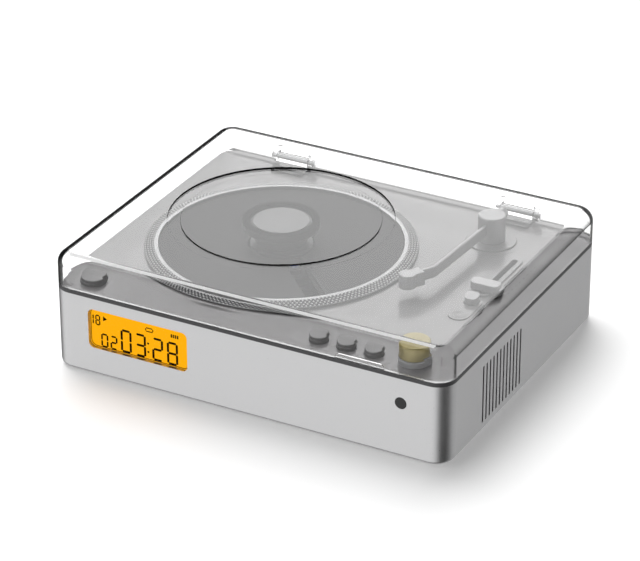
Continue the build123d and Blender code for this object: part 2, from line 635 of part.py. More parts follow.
def cover_shell():
    """Hollow box with round upright corners and a large rounding along its top."""
    body = slab(WIDTH, DEPTH, CORNER_R, COVER_RIM, COVER_TOP_Z)
    body = fillet(top_edges(body), COVER_EDGE_R)
    hollow = slab(WIDTH - 2 * COVER_WALL, DEPTH - 2 * COVER_WALL, CORNER_R - COVER_WALL,
                  COVER_RIM - 5, COVER_CEILING)
    hollow = fillet(top_edges(hollow), COVER_EDGE_R - COVER_WALL)
    return body - hollow


def dust_cover():
    """Clear lid with its grooved round dish, finger scoop, hinge frames and pin ears."""
    cover = cover_shell()
    middle, groove = COVER_TOP_Z - DISH_DEPTH, COVER_TOP_Z - GROOVE_DEPTH
    cover -= turned([(0, middle), (DISH_R_IN, middle), (DISH_R_IN, groove), (DISH_R_OUT, groove),
                     (DISH_R_OUT, COVER_TOP_Z), (0, COVER_TOP_Z)], DISC_X, DISC_Y)
    scoop = wall_pad(GRIP_W, GRIP_H, 2.0, FRONT - 1, FRONT + GRIP_DEPTH, GRIP_X, COVER_RIM)
    cover -= scoop
    for side in (-1, 1):
        cover = cover + hinge_frame(side) - hinge_opening(side)
    turning_room = block(-WIDTH, WIDTH, HINGE_Y, DEPTH, COVER_RIM - 1, HINGE_Z)
    turning_room -= rod_x(HINGE_BACK, -2 * WIDTH, 2 * WIDTH, HINGE_Y, HINGE_Z)
    cover -= turning_room
    for side in (-1, 1):
        x, reach = side * HINGE_X, FRAME_W / 2
        ears = rod_x(KNUCKLE_R, x - reach, x + reach, HINGE_Y, HINGE_Z)
        cover += ears - hinge_opening(side)
        cover -= rod_x(PIN_R + RUN, x - reach - 1, x + reach + 1, HINGE_Y, HINGE_Z)
    return cover


def hinge_frame(side):
    """Raised frame inside the back wall, before its opening is cut."""
    back_in = BACK - COVER_WALL
    return wall_pad(FRAME_W, FRAME_H, FRAME_R, back_in - FRAME_T, back_in + FIT, side * HINGE_X, COVER_RIM)


def hinge_opening(side):
    """Opening through the back wall that the deck's knuckle stands in."""
    low, width = COVER_RIM - 1, FRAME_W - 2 * FRAME_RIM
    return wall_pad(width, FRAME_H - FRAME_RIM + 1, FRAME_R - 1.5, HINGE_Y - KNUCKLE_R - 2, BACK + 1,
                    side * HINGE_X, low)


def hinge_bracket(side):
    """Wide knuckle between the frame's legs, on a foot that is fixed to the deck."""
    x, half = side * HINGE_X, FRAME_W / 2 - FRAME_RIM - GAP
    knuckle = rod_x(KNUCKLE_R, x - half, x + half, HINGE_Y, HINGE_Z)
    front = HINGE_Y - KNUCKLE_R
    neck = block(x - half, x + half, front, HINGE_Y + KNUCKLE_R, DECK_Z, HINGE_Z)
    foot_y = front + 2 - BRACKET_FOOT_L / 2
    foot = slab(2 * half, BRACKET_FOOT_L, 1.5, DECK_Z, DECK_Z + BRACKET_FOOT_T, x, foot_y)
    return knuckle + neck + foot - rod_x(PIN_R + RUN, x - half - 1, x + half + 1, HINGE_Y, HINGE_Z)


def hinge_pin(side):
    """Steel pin with a round cap at its right end."""
    x, reach = side * HINGE_X, FRAME_W / 2
    pin = rod_x(PIN_R, x - reach, x + reach, HINGE_Y, HINGE_Z)
    return pin + rod_x(PIN_CAP_R, x + reach, x + reach + PIN_CAP_L, HINGE_Y, HINGE_Z)


# ================================================================ display and eye
def display_window():
    return front_outline(DISPLAY_W, DISPLAY_H, DISPLAY_R, FRONT, FRONT + DISPLAY_T,
                         DISPLAY_X, DISPLAY_Z)


def display_panel():
    rim = 2 * PANEL_RIM
    return front_outline(DISPLAY_W + rim, DISPLAY_H + rim, 1.0, FRONT_IN + FIT, FRONT_IN + FIT + PANEL_T,
                         DISPLAY_X, DISPLAY_Z)


def display_holder():
    """Tray that clips the display against the front wall."""
    gap = 2 * (PANEL_RIM + FIT)
    wide, tall = DISPLAY_W + gap + 2 * HOLDER_WALL, DISPLAY_H + gap + 2 * HOLDER_WALL
    tray = front_outline(wide, tall, 2.0, FRONT_IN, FRONT_IN + HOLDER_DEPTH, DISPLAY_X, DISPLAY_Z)
    room = FRONT_IN + FIT + PANEL_T + FIT
    return tray - front_outline(DISPLAY_W + gap, DISPLAY_H + gap, 1.0, FRONT_IN - 1, room,
                                DISPLAY_X, DISPLAY_Z)


def ir_window():
    eye = rod_y(IR_R, FRONT, FRONT + IR_T, IR_X, IR_Z)
    return fillet(eye.edges().group_by(Axis.Y)[0], 0.3)


# ================================================================ speakers
def speaker_middle():
    return VENT_FIRST_Y + (VENT_COUNT - 1) * VENT_PITCH / 2, (VENT_LOW_Z + VENT_TOP_Z) / 2


def facing_side(shape, side):
    """Turn a piece drawn about +Z so that +Z points out through a side wall."""
    y, z = speaker_middle()
    return Pos(side * (INNER_W / 2 - FIT), y, z) * Rot(0, side * 90, 0) * shape


def speaker_driver(side):
    """Square frame, cone-shaped basket and magnet of one speaker."""
    frame = slab(SPEAKER_FRAME_Z, SPEAKER_FRAME_Y, 3.0, -SPEAKER_FRAME_T, 0)
    depth = SPEAKER_FRAME_T + SPEAKER_DEPTH
    basket = turned([(0, -depth), (MAGNET_R, -depth), (SPEAKER_CONE_R + 1.5, -SPEAKER_FRAME_T),
                     (SPEAKER_CONE_R + 1.5, 0), (0, 0)])
    hollow = turned([(0, -depth + 1.6), (MAGNET_R - 1.6, -depth + 1.6), (SPEAKER_CONE_R, -SPEAKER_FRAME_T),
                     (SPEAKER_CONE_R, 1), (0, 1)])
    magnet = disc(MAGNET_R + 1.5, -depth - MAGNET_T, -depth)
    return facing_side(frame + basket - hollow + magnet, side)


def speaker_cone(side):
    """Dished paper cone with its dust cap, seated in the basket."""
    depth = SPEAKER_FRAME_T + SPEAKER_DEPTH
    low = -depth + 1.6
    cone = turned([(0, low), (4.0, low), (4.0, low + 3.0), (SPEAKER_CONE_R - FIT, -1.0),
                   (SPEAKER_CONE_R - FIT, -0.5), (SPEAKER_CONE_R - 2.4, -0.5),
                   (SPEAKER_CAP_R, low + 4.4), (0, low + 5.6)])
    return facing_side(cone, side)


# ================================================================ disc drive
def gear_profile(teeth, play, first_tooth):
    """Involute spur gear outline; first_tooth is the direction of a tooth, in degrees."""
    pitch_r = GEAR_MODULE * teeth / 2
    base_r = pitch_r * cos(radians(20))
    tip_r, root_r = pitch_r + GEAR_MODULE * 0.92, pitch_r - GEAR_MODULE * 1.2
    half_at_pitch = pi / (2 * teeth) - play / (2 * pitch_r)
    flare = tan(radians(20)) - radians(20)
    start_r = max(base_r, root_r)
    radii = [start_r + (tip_r - start_r) * i / 3 for i in range(4)]
    points = []
    for tooth in range(teeth):
        middle = radians(first_tooth) + 2 * pi * tooth / teeth
        flank = []
        for r in radii:
            turn = acos(min(1.0, base_r / r))
            flank.append((r, half_at_pitch + flare - (tan(turn) - turn)))
        rising = [(root_r, flank[0][1])] + flank
        points += [(r * cos(middle - a), r * sin(middle - a)) for r, a in rising]
        points += [(r * cos(middle + a), r * sin(middle + a)) for r, a in reversed(rising)]
    return make_face(Polyline(*points, close=True))


GEAR_PITCH_R = GEAR_MODULE * GEAR_TEETH / 2
PINION_PITCH_R = GEAR_MODULE * PINION_TEETH / 2
RACK_PITCH_Y = -SLED_SIDE - GEAR_MODULE * 1.2
GEAR_Y = RACK_PITCH_Y - GEAR_PITCH_R
PINION_X = GEAR_X - GEAR_PITCH_R - PINION_PITCH_R
GEAR_LOW = SLED_UNDER + GAP


def drive_chassis():
    """Plate of the disc drive with rod blocks, gear post and motor seat."""
    wide_end = GEAR_X + GEAR_PITCH_R + CHASSIS_R
    middle_x = (CHASSIS_BACK + wide_end) / 2
    middle_y = (CHASSIS_SIDE - CHASSIS_GEAR_SIDE) / 2
    plate = slab(wide_end - CHASSIS_BACK, CHASSIS_SIDE + CHASSIS_GEAR_SIDE, CHASSIS_R,
                 CHASSIS_UNDER, CHASSIS_TOP, middle_x, middle_y)
    nose = chassis_front()
    plate += slab(nose, 2 * CHASSIS_NOSE_SIDE, CHASSIS_R, CHASSIS_UNDER, CHASSIS_TOP, nose / 2, 0)
    first, last = LENS_IN - TURRET_R - 2 * GAP, LENS_OUT + TURRET_R + 2 * GAP
    side = TURRET_R + 2 * GAP
    plate -= block(first, last, -side, side, CHASSIS_UNDER - 1, CHASSIS_TOP + 1)
    plate -= disc(SPINDLE_R + 1.5, CHASSIS_UNDER - 1, CHASSIS_TOP + 1)
    inner, outer = rod_ends()
    half = SLED_SIDE - RACK_BACK - GAP - ROD_SIDE
    for x0 in (inner - ROD_BLOCK, outer):
        for y in (-ROD_SIDE, ROD_SIDE):
            plate += block(x0, x0 + ROD_BLOCK, y - half, y + half, ROD_Z - ROD_BLOCK_R, CHASSIS_UNDER)
            plate -= rod_x(ROD_R + RUN, x0 - 1, x0 + ROD_BLOCK + 1, y, ROD_Z)
    plate += disc(POST_R, GEAR_LOW - 1.0, CHASSIS_UNDER, GEAR_X, GEAR_Y)
    seat_top = GEAR_LOW - 2 * GAP
    plate += motor_seat(seat_top)
    for x, y in damper_places():
        plate -= disc(SCREW_R + FIT, CHASSIS_UNDER - 1, CHASSIS_TOP + 1, x, y)
    return in_drive(plate)


def motor_seat(top):
    """Shelf under the pinion that holds the sled motor, hung from the plate by a web."""
    shelf = slab(2 * SLED_MOTOR_R + 1.0, 2 * SLED_MOTOR_R + 1.0, 2.0, top - 1.6, top, PINION_X, GEAR_Y)
    web_x = PINION_X - SLED_MOTOR_R - 0.5
    shelf += block(web_x, web_x + 1.8, GEAR_Y - 4.0, GEAR_Y + 4.0, top - 1.6, CHASSIS_UNDER)
    return shelf - disc(2.0, top - 3, top + 1, PINION_X, GEAR_Y)


def drive_dampers():
    """Rubber rings between the deck's bosses and the chassis."""
    rings = []
    for x, y in damper_places():
        ring = disc(DAMPER_R, CHASSIS_TOP, CHASSIS_TOP + DAMPER_T, x, y)
        rings.append(in_drive(ring - disc(SCREW_R + FIT, CHASSIS_TOP - 1, CHASSIS_TOP + 3, x, y)))
    return Compound(children=rings)


def drive_screws():
    screws = [in_drive(screw(x, y, CHASSIS_UNDER, CHASSIS_T + DAMPER_T + DECK_BOSS_H + 1.6))
              for x, y in damper_places()]
    return Compound(children=screws)


def guide_rods():
    """Two steel rods that carry the pickup sled."""
    inner, outer = rod_ends()
    start, end = inner - ROD_BLOCK - 0.5, outer + ROD_BLOCK + 0.5
    rods = [in_drive(rod_x(ROD_R, start, end, y, ROD_Z)) for y in (-ROD_SIDE, ROD_SIDE)]
    return Compound(children=rods)


def rack_profile():
    """Rack teeth along the sled's side, with a gap facing the gear at rest."""
    pitch = pi * GEAR_MODULE
    travel = LENS_OUT - LENS_IN
    count = int(travel / pitch) + 4
    half = pitch / 4 - TOOTH_PLAY / 4
    slope = tan(radians(20))
    tip, root = GEAR_MODULE * 0.92, GEAR_MODULE * 1.2
    first = GEAR_X + pitch / 2 - (count - 2) * pitch
    points = []
    for i in range(count):
        x = first + i * pitch
        wide, narrow = half + root * slope, half - tip * slope
        points += [(x - wide, RACK_PITCH_Y + root), (x - narrow, RACK_PITCH_Y - tip),
                   (x + narrow, RACK_PITCH_Y - tip), (x + wide, RACK_PITCH_Y + root)]
    back = -SLED_SIDE + RACK_BACK
    start, end = points[0][0] - 0.6, points[-1][0] + 0.6
    outline = [(start, back), (start, RACK_PITCH_Y + root)] + points
    outline += [(end, RACK_PITCH_Y + root), (end, back)]
    return make_face(Polyline(*outline, close=True))


def pickup_sled():
    """Sliding carriage: body on the rods, lens turret and toothed rack."""
    body = block(LENS_IN - SLED_HALF, LENS_IN + SLED_HALF, -SLED_SIDE, SLED_SIDE, SLED_UNDER, SLED_TOP)
    body = fillet(body.edges().filter_by(Axis.Z), 1.5)
    body += disc(TURRET_R, SLED_TOP - 1, DECK_UNDER - 2 * GAP, LENS_IN, 0)
    top = DISC_SEAT - LENS_H_UNDER_DISC - 0.6
    body += disc(LENS_R, DECK_UNDER - 1, top, LENS_IN, 0)
    body += Pos(0, 0, GEAR_LOW) * extrude(rack_profile(), GEAR_T)
    for y in (-ROD_SIDE, ROD_SIDE):
        body -= rod_x(ROD_R + RUN, LENS_IN - SLED_HALF - 1, LENS_IN + SLED_HALF + 1, y, ROD_Z)
    body -= disc(LENS_R - 0.8, top - 1.0, top + 1, LENS_IN, 0)
    return in_drive(body)


def objective_lens():
    """Small domed lens at the top of the turret."""
    low = DISC_SEAT - LENS_H_UNDER_DISC - 1.6
    radius = LENS_R - 0.8 - RUN
    dome = turned([(0, low), (radius, low), (radius, low + 0.8), (radius * 0.6, low + 1.4), (0, low + 1.6)])
    return in_drive(Pos(LENS_IN, 0, 0) * dome)


def sled_gear():
    """Gear between the motor pinion and the rack."""
    gear = Pos(GEAR_X, GEAR_Y, GEAR_LOW) * extrude(gear_profile(GEAR_TEETH, TOOTH_PLAY / 2, 90.0), GEAR_T)
    return in_drive(gear - disc(POST_R + RUN, GEAR_LOW - 1, GEAR_LOW + GEAR_T + 1, GEAR_X, GEAR_Y))


def motor_pinion():
    """Pinion and shaft of the sled motor."""
    first = 180.0 / PINION_TEETH
    pinion = Pos(PINION_X, GEAR_Y, GEAR_LOW) * extrude(
        gear_profile(PINION_TEETH, TOOTH_PLAY / 2, first), GEAR_T)
    shaft = disc(0.8, GEAR_LOW - 6.0, GEAR_LOW + GEAR_T, PINION_X, GEAR_Y)
    return in_drive(pinion + shaft)


def sled_motor():
    top = GEAR_LOW - 2 * GAP - 1.6
    can = fillet(bottom_edges(disc(SLED_MOTOR_R, top - SLED_MOTOR_H, top, PINION_X, GEAR_Y)), 0.8)
    return in_drive(can - disc(0.8 + RUN, top - 5.0, top + 1, PINION_X, GEAR_Y))


def spindle_motor():
    """Flat motor under the hub, screwed against the chassis plate."""
    low = CHASSIS_UNDER - SPIN_MOTOR_H
    can = fillet(bottom_edges(disc(SPIN_MOTOR_R, low, CHASSIS_UNDER, DISC_X, DISC_Y)), 1.0)
    return can - disc(SPINDLE_R + RUN, low + 1.5, CHASSIS_UNDER + 1, DISC_X, DISC_Y)


# ================================================================ push buttons and boards
def push_button(x, y, radius):
    """Round cap with a hidden flange and a stem over its switch."""
    top = DECK_Z + BUTTON_UP
    flange_top = DECK_UNDER - GAP
    flange_low, flange_r = flange_top - BUTTON_FLANGE_T, radius + BUTTON_FLANGE
    stem_low = BOARD_TOP + SWITCH_H + BUTTON_TRAVEL + RUN
    return turned([(0, stem_low), (BUTTON_STEM_R, stem_low), (BUTTON_STEM_R, flange_low),
                   (flange_r, flange_low), (flange_r, flange_top),
                   (radius, flange_top), (radius, DECK_Z + 1.3), (radius - 0.25, DECK_Z + 1.5),
                   (radius - 0.25, top - 0.35), (radius - 0.6, top), (0, top)], x, y)


def board(x0, x1, y0, y1, switch_places):
    """Circuit board with its push switches."""
    low = BOARD_TOP - BOARD_T
    card = block(x0, x1, y0, y1, low, BOARD_TOP)
    half = SWITCH_SIDE / 2
    for x, y in switch_places:
        card += block(x - half, x + half, y - half, y + half, BOARD_TOP, BOARD_TOP + SWITCH_H - 0.8)
        card += disc(1.7, BOARD_TOP, BOARD_TOP + SWITCH_H, x, y)
    return card


def ir_receiver():
    """Receiver for the remote control, hung from the board behind its window."""
    y0 = FRONT_IN + FIT
    half = RECEIVER_W / 2
    return block(IR_X - half, IR_X + half, y0, y0 + RECEIVER_L, IR_Z - RECEIVER_DROP, BOARD_TOP - BOARD_T)


def control_boards():
    """Wide board under the button row and the knob, and a small one for the power button."""
    row = [(x, y) for name, x, y, _ in button_places() if name != "button_power"]
    wide = board(*wide_board(), row)
    small = board(*power_board(), [(POWER_X, POWER_Y)])
    return Compound(children=[wide + ir_receiver(), small])


# ================================================================ volume knob
def volume_encoder():
    """Square body on the board with a bush up through the deck."""
    half = 6.2
    body = block(KNOB_X - half, KNOB_X + half, KNOB_Y - half, KNOB_Y + half, BOARD_TOP, DECK_UNDER - FIT)
    body += disc(KNOB_SHAFT_R + BUSH_WALL, DECK_UNDER - 1, DECK_Z + KNOB_RING_H - 0.6, KNOB_X, KNOB_Y)
    return body - disc(KNOB_SHAFT_R + RUN, BOARD_TOP + 2.0, DECK_Z + KNOB_UP, KNOB_X, KNOB_Y)


def volume_shaft():
    top = DECK_Z + KNOB_UP - KNOB_SHAFT_END - RUN
    return disc(KNOB_SHAFT_R, BOARD_TOP + 2.0 + RUN, top, KNOB_X, KNOB_Y)


def knob_ring():
    """Bright collar that the knob turns over."""
    top = DECK_Z + KNOB_RING_H
    return turned([(KNOB_RING_BORE, DECK_Z), (KNOB_RING_R, DECK_Z), (KNOB_RING_R, top - 0.4),
                   (KNOB_RING_R - 0.4, top), (KNOB_RING_BORE, top)], KNOB_X, KNOB_Y)


def volume_knob():
    """Turned metal knob with a broken top edge and a hollow underside."""
    low, top = DECK_Z + KNOB_RING_H + GAP, DECK_Z + KNOB_UP
    bore, bore_top = KNOB_SHAFT_R + RUN, DECK_Z + KNOB_UP - KNOB_SHAFT_END
    under = KNOB_SHAFT_R + 1.6
    return turned([(bore, low + 1.2), (under, low + 1.2), (under, low), (KNOB_R, low), (KNOB_R, top - 0.5),
                   (KNOB_R - 0.5, top), (0, top), (0, bore_top), (bore, bore_top)], KNOB_X, KNOB_Y)


# ================================================================ fader
def fader_slot(low, high):
    """Slot that lets the knob's blade travel, with a little room at each end."""
    length = FADER_TRAVEL + FADER_BLADE_L + 2 * FADER_SLOT_W
    return stadium(FADER_SLOT_W, length, low, high, FADER_X, FADER_MID_Y)


def fader_track():
    """Raised frame round the fader's slot."""
    frame = stadium(FADER_TRACK_W, FADER_TRACK_L, DECK_Z, DECK_Z + FADER_TRACK_H, FADER_X, FADER_MID_Y)
    frame = chamfer(top_edges(frame), 0.3)
    return frame - fader_slot(DECK_Z - 1, DECK_Z + 3)


def fader_body():
    """Long fader unit under the deck, with a groove for the knob's blade."""
    groove = (FADER_TRAVEL + FADER_BLADE_L) / 2 + 2 * GAP
    half_l, half_w = groove + FADER_BODY_END, FADER_BODY_W / 2
    body = block(FADER_X - half_w, FADER_X + half_w, FADER_MID_Y - half_l, FADER_MID_Y + half_l,
                 DECK_UNDER - FADER_BODY_H, DECK_UNDER)
    half = FADER_BLADE_W / 2 + GAP
    return body - block(FADER_X - half, FADER_X + half, FADER_MID_Y - groove, FADER_MID_Y + groove,
                        DECK_UNDER - 4.0, DECK_UNDER + 1)


def fader_knob():
    """Wide finger bar with round corners, on a blade through the slot."""
    low = DECK_Z + FADER_TRACK_H + GAP
    cap = slab(FADER_KNOB_W, FADER_KNOB_L, FADER_KNOB_R, low, low + FADER_KNOB_H, FADER_X, FADER_REST_Y)
    cap = fillet(top_edges(cap), 0.5)
    half_w, half_l = FADER_BLADE_W / 2, FADER_BLADE_L / 2
    blade = block(FADER_X - half_w, FADER_X + half_w, FADER_REST_Y - half_l, FADER_REST_Y + half_l,
                  DECK_UNDER - 3.0, low + 0.5)
    return cap + blade


# ================================================================ rocker
def rocker_hole(low, high):
    """Round-cornered hole that the key tilts in."""
    wide, long = ROCKER_W + 2 * GAP, ROCKER_L + 2 * ROCKER_SWING
    return slab(wide, long, ROCKER_R + GAP, low, high, ROCKER_X, ROCKER_Y)


def rocker_opening(low, high):
    """Key's hole through the deck, with a slot across for the switch's ears."""
    half_w, half_l = ROCKER_W / 2 + 2 * GAP + ROCKER_EAR + FIT, ROCKER_EAR_L / 2 + FIT
    ears = block(ROCKER_X - half_w, ROCKER_X + half_w, ROCKER_Y - half_l, ROCKER_Y + half_l, low, high)
    return rocker_hole(low, high) + ears


def rocker_plate():
    """Thin pill-shaped plate round the rocker."""
    plate = stadium(ROCKER_PLATE_W, ROCKER_PLATE_L, DECK_Z, DECK_Z + ROCKER_PLATE_T,
                    ROCKER_X, ROCKER_PLATE_Y)
    plate = chamfer(top_edges(plate), 0.15)
    return plate - rocker_hole(DECK_Z - 1, DECK_Z + 3)


def rocker_pivot():
    return DECK_Z - ROCKER_PIVOT_DROP


def rocker_key():
    """Key that tips front to back on two short pivots."""
    pivot = rocker_pivot()
    y0, y1 = ROCKER_Y - ROCKER_L / 2, ROCKER_Y + ROCKER_L / 2
    low = pivot - 1.0
    outline = [(y0 + 1.0, low), (y1 - 1.0, low), (y1, pivot + 0.6), (y1, DECK_Z + ROCKER_HIGH),
               (y1 - 1.6, DECK_Z + ROCKER_HIGH), (y0, DECK_Z + ROCKER_LOW), (y0, pivot + 0.6)]
    side = Plane.YZ * make_face(Polyline(*outline, close=True))
    key = Pos(ROCKER_X - ROCKER_W / 2, 0, 0) * extrude(side, ROCKER_W)
    key &= slab(ROCKER_W, ROCKER_L, ROCKER_R, low - 1, DECK_Z + ROCKER_HIGH + 1, ROCKER_X, ROCKER_Y)
    reach = ROCKER_W / 2 + GAP + ROCKER_EAR
    return key + rod_x(ROCKER_PIN_R, ROCKER_X - reach, ROCKER_X + reach, ROCKER_Y, pivot)


def rocker_switch():
    """Switch body under the deck, with two ears that hold the key's pivots."""
    pivot = rocker_pivot()
    top = DECK_UNDER - GAP
    half_w = ROCKER_W / 2 + GAP + ROCKER_EAR
    half_l = ROCKER_L / 2
    body = block(ROCKER_X - half_w, ROCKER_X + half_w, ROCKER_Y - half_l, ROCKER_Y + half_l,
                 top - ROCKER_BODY_H, top)
    for side in (-1, 1):
        x0 = ROCKER_X + side * (ROCKER_W / 2 + GAP)
        x1 = x0 + side * ROCKER_EAR
        body += block(min(x0, x1), max(x0, x1), ROCKER_Y - ROCKER_EAR_L / 2,
                      ROCKER_Y + ROCKER_EAR_L / 2, top - 1, pivot + 1.4)
    body -= block(ROCKER_X - ROCKER_W / 2 - GAP, ROCKER_X + ROCKER_W / 2 + GAP,
                  ROCKER_Y - half_l - 1, ROCKER_Y + half_l + 1, top - 1.4, top + 1)
    return body - rod_x(ROCKER_PIN_R + RUN, ROCKER_X - ROCKER_W, ROCKER_X + ROCKER_W, ROCKER_Y, pivot)


# ================================================================ swinging arm
ARM_TOP = DECK_Z + ARM_TOP_UP
PILLAR_LOW = DECK_Z + ARM_BASE_H + GAP
PILLAR_TOP = COVER_CEILING - PILLAR_TOP_GAP


def arm_base():
    """Stepped round plate under the arm's pillar."""
    top = DECK_Z + ARM_BASE_H
    return turned([(PILLAR_SHAFT_R + RUN, DECK_Z), (ARM_BASE_R, DECK_Z), (ARM_BASE_R, top - 0.4),
                   (ARM_BASE_R - 0.4, top), (PILLAR_SHAFT_R + RUN, top)], ARM_X, ARM_Y)


def arm_pillar():
    """Turning pillar with its shaft down through the deck."""
    low = DECK_UNDER - 3.4
    return turned([(0, low), (PILLAR_SHAFT_R, low), (PILLAR_SHAFT_R, PILLAR_LOW), (PILLAR_R, PILLAR_LOW),
                   (PILLAR_R, PILLAR_TOP - 0.5), (PILLAR_R - 0.5, PILLAR_TOP), (0, PILLAR_TOP)],
                  ARM_X, ARM_Y)


def arm_clip():
    """Retaining washer under the deck; it turns with the shaft."""
    high = DECK_UNDER - GAP
    return turned([(PILLAR_SHAFT_R, high - 1.2), (6.0, high - 1.2), (6.0, high), (PILLAR_SHAFT_R, high)],
                  ARM_X, ARM_Y)


def arm_bar():
    """Flat-sided bar, cranked once on its way to the head."""
    z = ARM_TOP - ARM_TALL / 2
    dx, dy = ARM_BEND[0] - ARM_X, ARM_BEND[1] - ARM_Y
    length = hypot(dx, dy)
    start = (ARM_X + dx / length * (PILLAR_R - 0.4), ARM_Y + dy / length * (PILLAR_R - 0.4))
    hx, hy = HEAD_AT[0] - ARM_BEND[0], HEAD_AT[1] - ARM_BEND[1]
    run = hypot(hx, hy)
    stop = HEAD_LENGTH - HEAD_R
    end = (HEAD_AT[0] - hx / run * stop, HEAD_AT[1] - hy / run * stop)
    path = FilletPolyline((*start, z), (*ARM_BEND, z), (*end, z), radius=ARM_BEND_R)
    section = Plane(origin=path @ 0, x_dir=(0, 0, 1), z_dir=path % 0) * RectangleRounded(
        ARM_TALL, ARM_W, 0.6)
    bar = sweep(section, path=path)
    return bar - disc(PILLAR_R, PILLAR_LOW, PILLAR_TOP, ARM_X, ARM_Y)


def arm_head():
    """Head block with a round nose and a narrower neck."""
    hx, hy = HEAD_AT[0] - ARM_BEND[0], HEAD_AT[1] - ARM_BEND[1]
    run = hypot(hx, hy)
    ux, uy = hx / run, hy / run
    low, top = ARM_TOP - HEAD_TALL, ARM_TOP + 0.2
    neck_l = HEAD_LENGTH - HEAD_R
    frame = Plane(origin=(*HEAD_AT, low), x_dir=(-ux, -uy, 0), z_dir=(0, 0, 1))
    neck = Pos(neck_l / 2, 0) * Rectangle(neck_l, HEAD_NECK_W)
    outline = Circle(HEAD_R) + neck
    head = extrude(frame * outline, top - low)
    return chamfer(top_edges(head), 0.3)


def arm_weight():
    """Stub weight behind the pillar, in line with the arm."""
    z = PILLAR_TOP - WEIGHT_R - 0.9
    reach = PILLAR_R - 0.6 + WEIGHT_L / 2
    dx, dy = ARM_X - ARM_BEND[0], ARM_Y - ARM_BEND[1]
    length = hypot(dx, dy)
    spot = Plane(origin=(ARM_X + dx / length * reach, ARM_Y + dy / length * reach, z), z_dir=(dx, dy, 0))
    weight = spot * Cylinder(WEIGHT_R, WEIGHT_L)
    return weight - disc(PILLAR_R, PILLAR_LOW, PILLAR_TOP, ARM_X, ARM_Y)


# ================================================================ electrics at the back
def main_board():
    low = MAIN_BOARD_Z
    card = slab(MAIN_BOARD_W, MAIN_BOARD_L, 1.5, low, low + BOARD_T, MAIN_BOARD_X, MAIN_BOARD_Y)
    top = low + BOARD_T
    for across, along, side, tall in CHIPS:
        x = BOARD_LEFT + across * MAIN_BOARD_W
        y = MAIN_BOARD_Y + along * MAIN_BOARD_L
        card += slab(side, side, 0.5, top, top + tall, x, y)
    return card


def battery_pack():
    """Two round cells side by side in one wrap, on the floor."""
    z = FLOOR_TOP + CELL_R + BATTERY_WRAP
    half = CELL_R + BATTERY_WRAP
    outline = SlotOverall(4 * CELL_R + 2 * BATTERY_WRAP, 2 * half)
    pack = Pos(BATTERY_X - CELL_L / 2, BATTERY_Y, z) * extrude(Plane.YZ * outline, CELL_L)
    return pack


def socket(x, width, height, length, radius, tongue):
    """Sheet-metal socket with its mouth at the back wall and a tongue inside."""
    y1 = BACK - 0.6
    z = MAIN_BOARD_Z + BOARD_T + height / 2
    shell = front_outline(width, height, radius, y1 - length, y1, x, z)
    inner = front_outline(width - 2 * PORT_SHELL, height - 2 * PORT_SHELL, max(radius - PORT_SHELL, 0.2),
                          y1 - length + 2.0, y1 + 1, x, z)
    shell -= inner
    tall = (height - 2 * PORT_SHELL) * tongue
    return shell + block(x - width / 2 + 1.6, x + width / 2 - 1.6, y1 - length + 1.0, y1 - 1.6,
                         z - tall / 2, z + tall / 2)


def usb_socket():
    return socket(USB_X, USB_W, USB_H, USB_L, 0.5, 0.4)


def power_inlet():
    return socket(INLET_X, INLET_W, INLET_H, INLET_L, 1.4, 0.3)


def aux_socket():
    """Square jack body with a round nose in the back wall."""
    z = aux_height()
    y1 = BACK_IN - GAP
    half = AUX_BODY / 2
    body = block(AUX_X - half, AUX_X + half, y1 - AUX_L, y1, z - half, z + half)
    body += rod_y(AUX_NOSE_R, y1 - 1, BACK - 0.3, AUX_X, z)
    return body - rod_y(AUX_BORE_R, y1 - AUX_L + 1.5, BACK + 1, AUX_X, z)


# ================================================================ all nodes
def build_nodes():
    nodes = {
        "case_shell": case_shell(), "bottom_cover": bottom_cover(), "feet": feet(),
        "case_screws": case_screws(), "trim_ring": trim_ring(), "deck_plate": deck_plate(),
        "platter_ring": platter_ring(), "disc_mat": disc_mat(),
        "spindle_hub": spindle_hub(), "catch_balls": catch_balls(), "spindle_shaft": spindle_shaft(),
        "clamp_holder": clamp_holder(), "clamp_puck": clamp_puck(), "clamp_label": clamp_label(),
        "dust_cover": dust_cover(),
        "display_window": display_window(), "display_panel": display_panel(),
        "display_holder": display_holder(), "ir_window": ir_window(),
        "drive_chassis": drive_chassis(), "drive_dampers": drive_dampers(),
        "drive_screws": drive_screws(), "guide_rods": guide_rods(), "pickup_sled": pickup_sled(),
        "objective_lens": objective_lens(), "sled_gear": sled_gear(), "motor_pinion": motor_pinion(),
        "sled_motor": sled_motor(), "spindle_motor": spindle_motor(),
        "control_boards": control_boards(),
        "volume_encoder": volume_encoder(), "volume_shaft": volume_shaft(),
        "knob_ring": knob_ring(), "volume_knob": volume_knob(),
        "fader_track": fader_track(), "fader_body": fader_body(), "fader_knob": fader_knob(),
        "rocker_plate": rocker_plate(), "rocker_key": rocker_key(), "rocker_switch": rocker_switch(),
        "arm_base": arm_base(), "arm_pillar": arm_pillar(), "arm_clip": arm_clip(),
        "arm_bar": arm_bar(), "arm_head": arm_head(), "arm_weight": arm_weight(),
        "main_board": main_board(), "battery_pack": battery_pack(), "usb_socket": usb_socket(),
        "aux_socket": aux_socket(), "power_inlet": power_inlet(),
    }
    pairs = {"hinge_brackets": hinge_bracket, "hinge_pins": hinge_pin,
             "speaker_drivers": speaker_driver, "speaker_cones": speaker_cone}
    for name, one_side in pairs.items():
        nodes[name] = Compound(children=[one_side(-1), one_side(1)])
    for name, x, y, radius in button_places():
        nodes[name] = push_button(x, y, radius)
    return nodes


os.makedirs("parts", exist_ok=True)
for node_name, node_shape in build_nodes().items():
    export_step(node_shape, f"parts/{node_name}.step")
